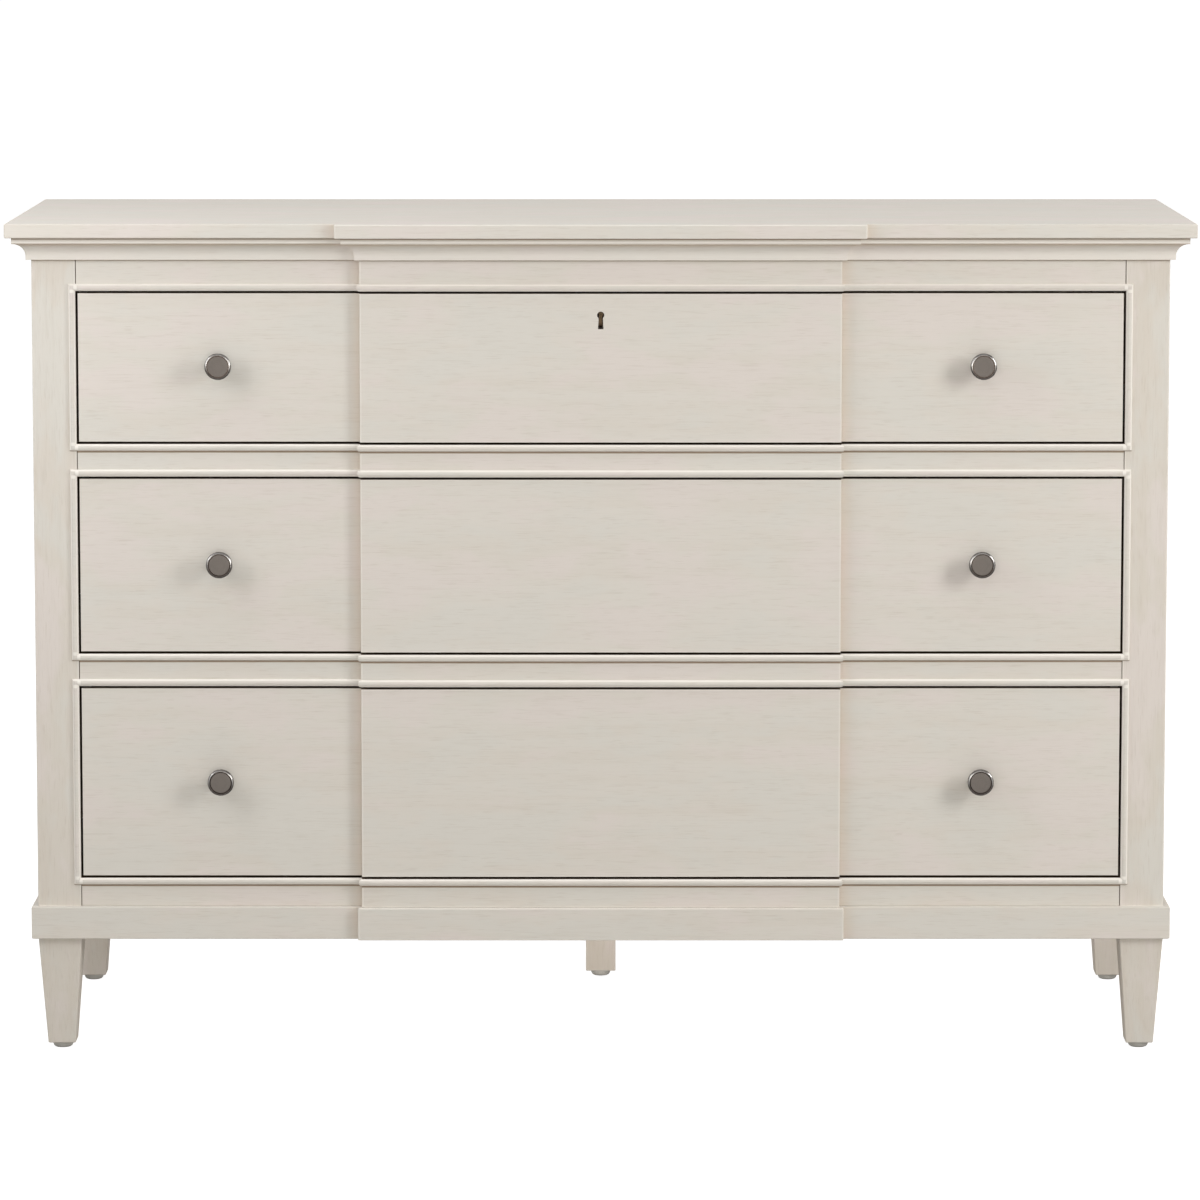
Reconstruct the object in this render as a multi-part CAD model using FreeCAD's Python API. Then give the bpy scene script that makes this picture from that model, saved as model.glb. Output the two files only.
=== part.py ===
import FreeCAD, Part
import os
from FreeCAD import Vector

# A three-drawer breakfront chest of drawers, in millimetres.
# X runs across the chest, +Y to the back, +Z up. The origin is on the floor, in the middle.

# Top
top_width = 1371.6
top_depth = 482.6
top_thickness = 16.5
top_overhang = 28.3
top_centre_overhang = 27.5
top_edge_radius = 1.5

# Breakfront: the middle of the front stands forward of the two sides
breakfront_step = 9.5
breakfront_width = 557.0

# Heights from the floor up
glide_height = 7.0
leg_height = 127.0
base_height = 38.0
bottom_rail_height = 33.5
lower_opening_height = 226.0
middle_opening_height = 207.0
upper_opening_height = 177.5
divider_height = 38.2
top_rail_height = 62.7

# Cove moulding under the top
cove_projection = 20.6
cove_foot_projection = 5.8
cove_lip_height = 7.1
cove_foot_height = 4.4

# Posts, side panels and rails
post_size = 50.8
post_edge_radius = 1.5
side_panel_thickness = 12.0
panel_tongue = 8.0
panel_tongue_thickness = 9.0
rail_thickness = 22.0
tenon_length = 12.0
tenon_thickness = 10.0
tenon_shoulder = 5.0
joint_line_width = 0.9
joint_line_depth = 2.0

# Beads round the drawer openings
bead_width = 8.5
bead_rise = 3.6

# Inner panels and the back
case_top_thickness = 12.0
dust_panel_thickness = 9.0
bottom_panel_thickness = 12.0
rail_groove_depth = 6.0
back_panel_thickness = 6.0
back_rabbet_width = 10.0

# Screws of the back panel
back_screw_head_diameter = 8.0
back_screw_head_height = 1.8
back_screw_diameter = 3.5
back_screw_length = 22.0
back_screw_edge = 5.0
back_screw_end = 40.0
back_screws_per_side = 5
back_screws_per_edge = 3

# Base moulding
base_projection = 7.2
base_centre_projection = 4.7
base_thickness = 22.0
base_edge_radius = 1.2
corner_block_size = 52.0

# Legs, centre foot and glides
leg_top_size = 50.8
leg_foot_size = 32.0
leg_edge_radius = 1.2
centre_foot_width = 37.0
centre_foot_depth = 27.0
centre_foot_lift = 2.4
glide_diameter = 24.0
glide_flat_diameter = 15.0
glide_rim_height = 2.0
glide_bulge_share = 0.75
glide_bulge_height_share = 0.33

# Drawers
drawer_gap = 2.4
front_thickness = 20.0
front_edge_radius = 0.8
front_lip_thickness = 8.0
box_back_gap = 18.8
box_board_thickness = 12.0
box_rise = 8.0
box_headroom = 22.0
box_edge_radius = 2.0
box_bottom_thickness = 6.0
box_bottom_rise = 9.0
box_groove_depth = 6.0
upper_tail_count = 3
middle_tail_count = 4
lower_tail_count = 4
tail_root_share = 0.52
tail_end_share = 0.70

# Telescopic drawer slides
slide_end_gap = 10.0
slide_height = 45.0
slide_thickness = 12.7
slide_setback = 2.0
carriage_setback = 5.0
slide_rise = 36.0
member_gauge = 1.4
member_clearance = 0.3
outer_member_depth = 9.0
carriage_end_gap = 7.0
carriage_depth = 8.6
inner_member_depth = 8.6

# Knobs and their screws
knob_diameter = 30.6
knob_projection = 25.0
knob_rise = 3.0
knob_head_height = 6.5
knob_rim_width = 2.3
knob_dish_depth = 0.9
knob_rim_radius = 1.1
knob_neck_diameter = 11.0
knob_foot_diameter = 17.0
knob_foot_height = 3.5
knob_bell_share = 0.2
knob_bell_height_share = 0.73
knob_bore_depth = 14.0
knob_screw_diameter = 4.0
knob_screw_engagement = 12.0
knob_screw_head_diameter = 9.0
knob_screw_head_height = 2.6
screw_clearance = 0.05
hole_clearance = 0.3

# Lock, keyhole and strike plate on the upper drawer
key_drop = 24.8
keyhole_head_diameter = 8.2
keyhole_waist_width = 4.8
keyhole_foot_width = 6.2
keyhole_above_key = 5.3
keyhole_height = 21.4
keyhole_waist_drop = 4.6
liner_wall = 0.7
liner_depth = 5.0
liner_stand = 0.3
lock_width = 60.0
lock_height = 45.0
lock_depth = 9.0
lock_wall = 1.7
lock_plate_depth = 13.0
lock_plate_thickness = 1.6
bolt_width = 20.0
bolt_length = 18.0
bolt_clearance = 0.3
bolt_sink = 0.4
bolt_throw = 8.0
strike_width = 40.0
strike_depth = 13.0
strike_thickness = 1.5
strike_pocket_clearance = 4.0

# Overrun for cuts
overrun = 5.0

# Places across the chest
case_half = top_width / 2 - top_overhang
opening_half = case_half - post_size
centre_half = breakfront_width / 2
box_half = opening_half - slide_thickness
knob_x = (centre_half + opening_half - drawer_gap) / 2

# Places from front to back
back_y = top_depth / 2
centre_top_y = -top_depth / 2
side_top_y = centre_top_y + breakfront_step
face_y = side_top_y + top_overhang
centre_face_y = face_y - breakfront_step
rail_back_y = face_y + rail_thickness
front_post_back_y = face_y + post_size
rear_post_front_y = back_y - post_size
back_panel_y = back_y - back_panel_thickness
front_back_y = face_y + front_thickness
lip_back_y = face_y + front_lip_thickness
box_back_y = back_panel_y - box_back_gap
slide_y = lip_back_y + slide_setback
slide_end_y = box_back_y - slide_end_gap

# Heights
leg_top_z = glide_height + leg_height
case_z = leg_top_z + base_height
lower_z = case_z + bottom_rail_height
lower_top_z = lower_z + lower_opening_height
middle_z = lower_top_z + divider_height
middle_top_z = middle_z + middle_opening_height
upper_z = middle_top_z + divider_height
upper_top_z = upper_z + upper_opening_height
under_top_z = upper_top_z + top_rail_height
top_z = under_top_z + top_thickness
cove_radius = cove_projection - cove_foot_projection
cove_z = under_top_z - cove_lip_height - cove_radius - cove_foot_height


def box(x, y, z):
    """A block between pairs of places along X, Y and Z."""
    size = [b - a for a, b in (x, y, z)]
    return Part.makeBox(*size, Vector(x[0], y[0], z[0]))


def prism(points, along):
    """A polygon of vectors, carried along a vector."""
    face = Part.Face(Part.makePolygon([*points, points[0]]))
    return face.extrude(along)


def plan_prism(points, z):
    """A polygon of X, Y points, carried up between two heights."""
    return prism([Vector(px, py, z[0]) for px, py in points], Vector(0, 0, z[1] - z[0]))


def cylinder_y(diameter, x, y, z):
    """A round bar along Y, between two places on it."""
    return Part.makeCylinder(diameter / 2, y[1] - y[0], Vector(x, y[0], z), Vector(0, 1, 0))


def mirrored(shape):
    """The same shape on the other side of the chest."""
    return shape.mirror(Vector(0, 0, 0), Vector(1, 0, 0))


def both_sides(shape):
    """A shape and its mirror image."""
    return [shape, mirrored(shape)]


def eased(solid, radius, chosen):
    """The solid with the edges that the test picks rounded over."""
    edges = [e for e in solid.Edges if chosen(e)]
    return solid.makeFillet(radius, edges)


def at(value, place):
    """Whether a coordinate is at a place."""
    return abs(value - place) < overrun / 1000


def level(edge, axis, place):
    """Whether a whole edge lies at one place along an axis."""
    return all(at(getattr(v.Point, axis), place) for v in edge.Vertexes)


def upright(edge):
    """Whether an edge runs along Z."""
    a, b = (v.Point for v in edge.Vertexes)
    return at(a.x, b.x) and at(a.y, b.y)


def across(edge):
    """Whether an edge runs along X."""
    a, b = (v.Point for v in edge.Vertexes)
    return at(a.y, b.y) and at(a.z, b.z)


def slanted(edge):
    """Whether an edge runs along neither X nor Y."""
    a, b = (v.Point for v in edge.Vertexes)
    return not at(a.x, b.x) and not at(a.y, b.y)


def save(name, *solids):
    """One file for one named piece, or for a set of like pieces."""
    for solid in solids:
        assert solid.isValid() and solid.Volume > 0 and len(solid.Solids) == 1, name
    shape = solids[0] if len(solids) == 1 else Part.makeCompound(list(solids))
    shape.exportStep(os.path.join("parts", name + ".step"))


def breakfront_path(half, y):
    """The front line of the case in plan, from left to right, with its two steps."""
    forward = y - breakfront_step
    right = [(centre_half, forward), (centre_half, y), (half, y)]
    left = [(-px, py) for px, py in reversed(right)]
    return left + right


def mitred_runs(path, profile, reach):
    """Straight lengths of moulding along a plan line, mitred where the line turns.

    The profile is a function of a place on the line and its outward direction.
    """
    points = [Vector(px, py, 0) for px, py in path]
    ways = [(b - a).normalize() for a, b in zip(points, points[1:])]
    outward = [Vector(w.y, -w.x, 0) for w in ways]
    turns = [outward[0]]
    for a, b in zip(outward, outward[1:]):
        turns.append((a + b) * (1 / (1 + a.dot(b))))
    turns.append(outward[-1])
    runs = []
    for i, way in enumerate(ways):
        start, end = points[i], points[i + 1]
        spread = reach + overrun
        bar = profile(start - way * spread, outward[i]).extrude(way * ((end - start).Length + 2 * spread))
        zone = [start, end, end + turns[i + 1] * spread, start + turns[i] * spread]
        low = Vector(0, 0, bar.BoundBox.ZMin - overrun)
        height = Vector(0, 0, bar.BoundBox.ZLength + 2 * overrun)
        runs.append(bar.common(prism([p + low for p in zone], height)).Solids[0])
    return runs


def cove_profile(place, outward):
    """The cove's cross-section: a foot, a hollow quarter round and a square lip."""
    def point(out, z):
        return place + outward * out + Vector(0, 0, z)

    arc_z = cove_z + cove_foot_height
    lip_z = arc_z + cove_radius
    hollow = cove_radius * (1 - 0.5 ** 0.5)
    a = point(0, cove_z)
    b = point(cove_foot_projection, cove_z)
    c = point(cove_foot_projection, arc_z)
    middle = point(cove_foot_projection + hollow, lip_z - hollow)
    d = point(cove_projection, lip_z)
    e = point(cove_projection, under_top_z)
    f = point(0, under_top_z)
    edges = [
        Part.makeLine(a, b),
        Part.makeLine(b, c),
        Part.Arc(c, middle, d).toShape(),
        Part.makeLine(d, e),
        Part.makeLine(e, f),
        Part.makeLine(f, a),
    ]
    return Part.Face(Part.Wire(edges))


def bead_profile_at(z):
    """The rounded bead's cross-section, standing on the face of a rail from height z up."""
    def profile(place, outward):
        low = place + Vector(0, 0, z)
        high = low + Vector(0, 0, bead_width)
        crest = (low + high) * 0.5 + outward * bead_rise
        return Part.Face(Part.Wire([Part.Arc(low, crest, high).toShape(), Part.makeLine(high, low)]))

    return profile


def make_top():
    wide = top_width / 2
    middle = centre_half + top_centre_overhang
    outline = [
        (-wide, back_y),
        (-wide, side_top_y),
        (-middle, side_top_y),
        (-middle, centre_top_y),
        (middle, centre_top_y),
        (middle, side_top_y),
        (wide, side_top_y),
        (wide, back_y),
    ]
    slab = plan_prism(outline, (under_top_z, top_z))

    def shown(edge):
        return not level(edge, "y", back_y) and (level(edge, "z", top_z) or level(edge, "z", under_top_z))

    save("top_panel", eased(slab, top_edge_radius, shown))


def make_cove():
    corner = [(-case_half, back_y), (-case_half, face_y)]
    path = [corner[0]] + breakfront_path(case_half, face_y) + [(case_half, back_y)]
    runs = mitred_runs(path, cove_profile, cove_projection)
    save("cove_moulding_left", runs[0])
    save("cove_moulding_front", *runs[1:-1])
    save("cove_moulding_right", runs[-1])


def rail_tenon(z, height):
    """The tongue on the right-hand end of a rail, which also cuts the post's mortise."""
    middle = face_y + rail_thickness / 2
    return box(
        (opening_half, opening_half + tenon_length),
        (middle - tenon_thickness / 2, middle + tenon_thickness / 2),
        (z + tenon_shoulder, z + height - tenon_shoulder),
    )


def rails():
    """Name, height of the lower edge and height of each rail between the posts."""
    return [
        ("bottom_rail", case_z, bottom_rail_height),
        ("lower_divider_rail", lower_top_z, divider_height),
        ("upper_divider_rail", middle_top_z, divider_height),
        ("top_rail", upper_top_z, top_rail_height),
    ]


def panel_levels():
    """Lower and upper face of each level panel that is let into the rails."""
    dust = (divider_height - dust_panel_thickness) / 2
    return {
        "bottom_panel": (case_z, case_z + bottom_panel_thickness),
        "lower_dust_panel": (lower_top_z + dust, middle_z - dust),
        "upper_dust_panel": (middle_top_z + dust, upper_z - dust),
        "case_top_panel": (under_top_z - case_top_thickness, under_top_z),
    }


def level_panel(z):
    """A panel that fills the case between the rails and the back, notched round the posts."""
    inside = case_half - side_panel_thickness
    panel = box((-inside, inside), (rail_back_y, back_panel_y), z)
    tongue = box((-opening_half, opening_half), (rail_back_y - rail_groove_depth, rail_back_y), z)
    for y in ((face_y, front_post_back_y), (rear_post_front_y, back_y)):
        for notch in both_sides(box((opening_half, case_half), y, z)):
            panel = panel.cut(notch)
    return panel.fuse(tongue).removeSplitter().Solids[0]


def rail(z, height):
    """A rail with its breakfront, its joint lines at the posts and its tenons."""
    outline = breakfront_path(opening_half, face_y)
    outline += [(opening_half, rail_back_y), (-opening_half, rail_back_y)]
    body = plan_prism(outline, (z, z + height))
    line = box(
        (opening_half - joint_line_width, opening_half),
        (face_y, face_y + joint_line_depth),
        (z, z + height),
    )
    for cut in both_sides(line):
        body = body.cut(cut)
    for tenon in both_sides(rail_tenon(z, height)):
        body = body.fuse(tenon)
    for level_z in panel_levels().values():
        groove = box((-opening_half, opening_half), (rail_back_y - rail_groove_depth, rail_back_y), level_z)
        body = body.cut(groove)
    return body.removeSplitter().Solids[0]


def strike_y():
    """Where the lock's plate and the strike plate lie, front to back."""
    return (front_back_y - strike_depth, front_back_y)


def bolt_y():
    """Where the lock's bolt lies, front to back."""
    skin = lock_wall + bolt_clearance
    return (front_back_y - lock_depth + skin, front_back_y - skin)


def bolt_way(z):
    """The room that the bolt slides in, between two heights."""
    y = bolt_y()
    half = bolt_width / 2 + bolt_clearance
    return box((-half, half), (y[0] - bolt_clearance, y[1] + bolt_clearance), z)


def make_rails():
    for name, z, height in rails():
        body = rail(z, height)
        if name == "top_rail":
            seat = box((-strike_width / 2, strike_width / 2), strike_y(), (z, z + strike_thickness))
            reach = bolt_throw - bolt_sink - drawer_gap
            pocket = bolt_way((z, z + reach + strike_pocket_clearance))
            body = body.cut(seat).cut(pocket)
            save("lock_strike_plate", seat.cut(pocket))
        save(name, body)


def side_panel():
    """The right-hand side panel, with its tongues in the posts and its joint lines."""
    panel = box(
        (case_half - side_panel_thickness, case_half),
        (front_post_back_y - panel_tongue, rear_post_front_y + panel_tongue),
        (case_z, under_top_z),
    )
    inner_x = case_half - side_panel_thickness
    tongue_x = (inner_x + panel_tongue_thickness, case_half)
    lap = (case_half - joint_line_depth, case_half)
    high = (case_z, under_top_z)
    front_y = (front_post_back_y - panel_tongue, front_post_back_y)
    rear_y = (rear_post_front_y, rear_post_front_y + panel_tongue)
    for y, line in (
        (front_y, (front_post_back_y, front_post_back_y + joint_line_width)),
        (rear_y, (rear_post_front_y - joint_line_width, rear_post_front_y)),
    ):
        panel = panel.cut(box(tongue_x, y, high)).cut(box(lap, line, high))
    return panel


def make_side_panels():
    right = side_panel()
    save("side_panel_right", right)
    save("side_panel_left", mirrored(right))


def post(y):
    """A right-hand post between two places from front to back, with its outer corners eased."""
    body = box((opening_half, case_half), y, (case_z, under_top_z))
    outer_y = y[0] if y[0] == face_y else y[1]

    def corner(edge):
        return upright(edge) and level(edge, "x", case_half) and level(edge, "y", outer_y)

    return eased(body, post_edge_radius, corner)


def front_post():
    body = post((face_y, front_post_back_y)).cut(side_panel())
    for _, z, height in rails():
        body = body.cut(rail_tenon(z, height))
    return body


def rear_post():
    rabbet = box(
        (opening_half, opening_half + back_rabbet_width),
        (back_panel_y, back_y),
        (case_z, under_top_z),
    )
    body = post((rear_post_front_y, back_y)).cut(side_panel()).cut(rabbet)
    for hole in back_screw_holes():
        body = body.cut(hole)
    return body


def make_posts():
    for name, right in (("front_post", front_post()), ("rear_post", rear_post())):
        save(name + "_right", right)
        save(name + "_left", mirrored(right))


def back_screw_places():
    """X and Z of each screw in the back panel: a row up each side, and one along the top and bottom."""
    side_x = opening_half + back_screw_edge
    low = case_z + back_screw_end
    pitch = (under_top_z - back_screw_end - low) / (back_screws_per_side - 1)
    places = []
    for i in range(back_screws_per_side):
        places += [(side_x, low + i * pitch), (-side_x, low + i * pitch)]
    spread = opening_half / 2
    for name in ("bottom_panel", "case_top_panel"):
        z = sum(panel_levels()[name]) / 2
        for i in range(back_screws_per_edge):
            places.append((spread * (i - (back_screws_per_edge - 1) / 2), z))
    return places


def back_screw_holes():
    """The holes that the back screws run in, through the panel and into what holds it."""
    y = (back_y - back_screw_length - hole_clearance, back_y + overrun)
    return [cylinder_y(back_screw_diameter + 2 * screw_clearance, x, y, z) for x, z in back_screw_places()]


def make_back():
    half = opening_half + back_rabbet_width
    panel = box((-half, half), (back_panel_y, back_y), (case_z, under_top_z))
    head_y = back_y - back_screw_head_height
    sink_diameter = back_screw_head_diameter + 2 * screw_clearance
    screws = []
    for (x, z), hole in zip(back_screw_places(), back_screw_holes()):
        panel = panel.cut(hole).cut(cylinder_y(sink_diameter, x, (head_y, back_y + overrun), z))
        head = cylinder_y(back_screw_head_diameter, x, (head_y, back_y), z)
        shank = cylinder_y(back_screw_diameter, x, (back_y - back_screw_length, back_y), z)
        screws.append(head.fuse(shank).removeSplitter().Solids[0])
    save("back_panel", panel)
    save("back_screws", *screws)


def make_level_panels():
    for name, z in panel_levels().items():
        panel = level_panel(z)
        for hole in back_screw_holes():
            panel = panel.cut(hole)
        save(name, panel.Solids[0])


def bead_frame(name, z, top):
    """The mitred beads round one drawer opening, on the faces of the rails and posts."""
    outer = opening_half + bead_width
    solids = []
    for low, tip in ((z - bead_width, -1), (top, 1)):
        path = breakfront_path(outer, face_y)
        runs = mitred_runs(path, bead_profile_at(low), bead_rise)
        edge = z if tip < 0 else top
        reach = bead_width + overrun
        wedge = [
            Vector(opening_half, 0, edge),
            Vector(opening_half + reach, 0, edge),
            Vector(opening_half + reach, 0, edge + tip * reach),
        ]
        deep = [p + Vector(0, centre_face_y - overrun - bead_rise, 0) for p in wedge]
        corner = prism(deep, Vector(0, breakfront_step + bead_rise + 2 * overrun, 0))
        for cut in both_sides(corner):
            runs = [r.cut(cut) for r in runs]
        solids += [r.Solids[0] for r in runs]
    upright_face = Part.Face(Part.Wire([
        Part.Arc(
            Vector(opening_half, face_y, z - bead_width),
            Vector(opening_half + bead_width / 2, face_y - bead_rise, z - bead_width),
            Vector(outer, face_y, z - bead_width),
        ).toShape(),
        Part.makeLine(Vector(outer, face_y, z - bead_width), Vector(opening_half, face_y, z - bead_width)),
    ]))
    side = upright_face.extrude(Vector(0, 0, top - z + 2 * bead_width))
    keep = prism(
        [
            Vector(opening_half, face_y - overrun, z),
            Vector(outer, face_y - overrun, z - bead_width),
            Vector(outer, face_y - overrun, top + bead_width),
            Vector(opening_half, face_y - overrun, top),
        ],
        Vector(0, 2 * overrun, 0),
    )
    solids += both_sides(side.common(keep).Solids[0])
    save(name, *solids)


def make_base():
    wide = case_half + base_projection
    front_y = face_y - base_projection
    inner_y = front_y + base_thickness
    inner_x = wide - base_thickness
    middle = centre_half + base_centre_projection
    z = (leg_top_z, case_z)
    right = [(middle, front_y - breakfront_step), (middle, front_y), (wide, front_y), (inner_x, inner_y)]
    left = [(-px, py) for px, py in reversed(right)]

    def rim(edge):
        shown = not level(edge, "y", inner_y) and not slanted(edge)
        return shown and level(edge, "z", case_z)

    front = plan_prism(left + right, z)
    save("base_moulding_front", eased(front, base_edge_radius, rim))
    side = plan_prism([(wide, front_y), (wide, back_y), (inner_x, back_y), (inner_x, inner_y)], z)
    side = eased(side, base_edge_radius, lambda e: level(e, "x", wide) and level(e, "z", case_z))
    save("base_moulding_right", side)
    save("base_moulding_left", mirrored(side))
    save("base_rail_back", box((-inner_x, inner_x), (back_y - base_thickness, back_y), z))
    rail_y = back_y - base_thickness
    blocks = []
    for y in ((inner_y, inner_y + corner_block_size), (rail_y - corner_block_size, rail_y)):
        blocks += both_sides(box((inner_x - corner_block_size, inner_x), y, z))
    save("base_corner_blocks", *blocks)


def leg_places():
    """The middle of each leg in plan, by name."""
    x = case_half - post_size / 2
    front_y = face_y + post_size / 2
    rear_y = back_y - post_size / 2
    return {
        "leg_front_left": (-x, front_y),
        "leg_front_right": (x, front_y),
        "leg_rear_left": (-x, rear_y),
        "leg_rear_right": (x, rear_y),
    }


def square(x, y, size, z):
    """A square wire round a middle, at one height."""
    half = size / 2
    corners = [(-half, -half), (half, -half), (half, half), (-half, half)]
    points = [Vector(x + cx, y + cy, z) for cx, cy in corners]
    return Part.makePolygon([*points, points[0]])


def make_legs():
    def corner(edge):
        return not level(edge, "z", glide_height) and not level(edge, "z", leg_top_z)

    for name, (x, y) in leg_places().items():
        foot = square(x, y, leg_foot_size, glide_height)
        head = square(x, y, leg_top_size, leg_top_z)
        leg = Part.makeLoft([foot, head], True, True)
        save(name, eased(leg, leg_edge_radius, corner).Solids[0])
    foot_y = (back_y - centre_foot_depth, back_y)
    foot_z = (glide_height + centre_foot_lift, leg_top_z)
    foot = box((-centre_foot_width / 2, centre_foot_width / 2), foot_y, foot_z)
    save("centre_foot", eased(foot, leg_edge_radius, upright))


def glide(x, y, z):
    """A domed nail-on glide that stands on height z."""
    rim = glide_diameter / 2
    flat = glide_flat_diameter / 2
    dome = glide_height - glide_rim_height
    bulge = Vector(flat + (rim - flat) * glide_bulge_share, 0, dome * glide_bulge_height_share)
    edges = [
        Part.makeLine(Vector(0, 0, 0), Vector(flat, 0, 0)),
        Part.Arc(Vector(flat, 0, 0), bulge, Vector(rim, 0, dome)).toShape(),
        Part.makeLine(Vector(rim, 0, dome), Vector(rim, 0, glide_height)),
        Part.makeLine(Vector(rim, 0, glide_height), Vector(0, 0, glide_height)),
        Part.makeLine(Vector(0, 0, glide_height), Vector(0, 0, 0)),
    ]
    solid = Part.Face(Part.Wire(edges)).revolve(Vector(0, 0, 0), Vector(0, 0, 1), 360)
    solid.translate(Vector(x, y, z))
    return solid.Solids[0]


def make_glides():
    glides = [glide(x, y, 0) for x, y in leg_places().values()]
    glides.append(glide(0, back_y - centre_foot_depth / 2, centre_foot_lift))
    save("glides", *glides)


def drawers():
    """Name, opening's lower edge, opening's upper edge and number of dovetails of each drawer."""
    return [
        ("upper", upper_z, upper_top_z, upper_tail_count),
        ("middle", middle_z, middle_top_z, middle_tail_count),
        ("lower", lower_z, lower_top_z, lower_tail_count),
    ]


def box_levels(z, top):
    """Lower and upper edge of a drawer's box sides in an opening."""
    return z + drawer_gap + box_rise, top - drawer_gap - box_headroom


def tails(z, top, count, root_y, end_y):
    """The dovetails at one end of the right-hand side of a drawer box."""
    low, high = box_levels(z, top)
    pitch = (high - low) / count
    start = box_half - box_board_thickness
    shapes = []
    for i in range(count):
        middle = low + pitch * (i + 1 / 2)
        root = pitch * tail_root_share / 2
        end = pitch * tail_end_share / 2
        points = [
            Vector(start, root_y, middle - root),
            Vector(start, end_y, middle - end),
            Vector(start, end_y, middle + end),
            Vector(start, root_y, middle + root),
        ]
        shapes.append(prism(points, Vector(box_board_thickness, 0, 0)))
    return shapes


def all_tails(z, top, count):
    """Both sets of dovetails of a right-hand box side: blind at the front, through at the back."""
    rear = tails(z, top, count, box_back_y - box_board_thickness, box_back_y)
    return tails(z, top, count, front_back_y, lip_back_y) + rear


def drawer_bottom(z, top):
    low = box_levels(z, top)[0] + box_bottom_rise
    half = box_half - box_board_thickness + box_groove_depth
    y = (front_back_y - box_groove_depth, box_back_y - box_board_thickness + box_groove_depth)
    return box((-half, half), y, (low, low + box_bottom_thickness))


def box_side(z, top, count):
    """The right-hand side of a drawer box."""
    low, high = box_levels(z, top)
    x = (box_half - box_board_thickness, box_half)
    side = box(x, (front_back_y, box_back_y - box_board_thickness), (low, high))
    side = eased(side, box_edge_radius, lambda e: level(e, "z", high) and not across(e))
    for tail in all_tails(z, top, count):
        side = side.fuse(tail)
    return side.cut(drawer_bottom(z, top)).removeSplitter().Solids[0]


def box_back(z, top, count):
    low, high = box_levels(z, top)
    back = box((-box_half, box_half), (box_back_y - box_board_thickness, box_back_y), (low, high))
    for tail in all_tails(z, top, count):
        for socket in both_sides(tail):
            back = back.cut(socket)
    return back.cut(drawer_bottom(z, top)).Solids[0]


def front_blank(z, top):
    """A drawer front with its breakfront, its eased edges and the thin lips that hide the slides."""
    half = opening_half - drawer_gap
    outline = breakfront_path(half, face_y)
    outline += [(half, lip_back_y), (box_half, lip_back_y), (box_half, front_back_y)]
    outline += [(-box_half, front_back_y), (-box_half, lip_back_y), (-half, lip_back_y)]
    low, high = z + drawer_gap, top - drawer_gap
    blank = plan_prism(outline, (low, high))

    def shown(edge):
        on_face = all(v.Point.y < lip_back_y - front_edge_radius for v in edge.Vertexes)
        end = upright(edge) and (level(edge, "x", half) or level(edge, "x", -half))
        step = upright(edge) and level(edge, "y", centre_face_y)
        rim = (level(edge, "z", low) or level(edge, "z", high)) and across(edge)
        return on_face and (end or step or rim)

    return eased(blank, front_edge_radius, shown)


def keyhole(y, grow):
    """The keyhole's outline, grown all round, carried between two places from front to back."""
    key_z = upper_top_z - drawer_gap - key_drop
    radius = keyhole_head_diameter / 2 + grow
    foot_z = key_z + keyhole_above_key - keyhole_height - grow
    waist = keyhole_waist_width / 2 + grow
    foot = keyhole_foot_width / 2 + grow
    head = cylinder_y(2 * radius, 0, y, key_z)
    points = [(waist, key_z), (waist, key_z - keyhole_waist_drop), (foot, foot_z)]
    points += [(-px, pz) for px, pz in reversed(points)]
    skirt = prism([Vector(px, y[0], pz) for px, pz in points], Vector(0, y[1] - y[0], 0))
    return head.fuse(skirt).removeSplitter().Solids[0]


def lock_seat():
    """The recess that the lock fills in the back and top of the upper drawer's front."""
    top = upper_top_z - drawer_gap
    x = (-lock_width / 2, lock_width / 2)
    body = box(x, (front_back_y - lock_depth, front_back_y), (top - lock_height, top))
    plate_y = (front_back_y - lock_plate_depth, front_back_y)
    plate = box(x, plate_y, (top - lock_plate_thickness, top))
    return body.fuse(plate).removeSplitter().Solids[0]


def make_lock():
    top = upper_top_z - drawer_gap
    room_z = (top - lock_height + lock_wall, top + overrun)
    mouth = (front_back_y - lock_depth - overrun, bolt_y()[0])
    body = lock_seat().cut(bolt_way(room_z)).cut(keyhole(mouth, -liner_wall))
    save("lock_body", body.Solids[0])
    half = bolt_width / 2
    bolt_top = top - bolt_sink
    save("lock_bolt", box((-half, half), bolt_y(), (bolt_top - bolt_length, bolt_top)))
    liner_y = (centre_face_y - liner_stand, centre_face_y + liner_depth)
    hollow_y = (liner_y[0] - overrun, liner_y[1] + overrun)
    save("keyhole_liner", keyhole(liner_y, 0).cut(keyhole(hollow_y, -liner_wall)))


def drawer_front(name, z, top, count):
    front = front_blank(z, top)
    for tail in all_tails(z, top, count):
        for socket in both_sides(tail):
            front = front.cut(socket)
    front = front.cut(drawer_bottom(z, top))
    for x in (-knob_x, knob_x):
        y = (face_y - overrun, front_back_y + overrun)
        front = front.cut(cylinder_y(knob_screw_diameter + 2 * hole_clearance, x, y, knob_z(z, top)))
    if name == "upper":
        front = front.cut(lock_seat())
        front = front.cut(keyhole((centre_face_y - overrun, centre_face_y + liner_depth), 0))
        front = front.cut(keyhole((centre_face_y, front_back_y - lock_depth), -liner_wall))
    return front.Solids[0]


def knob_z(z, top):
    """The height of a drawer's knobs, from its opening's lower and upper edge."""
    return (z + top) / 2 + knob_rise


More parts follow.
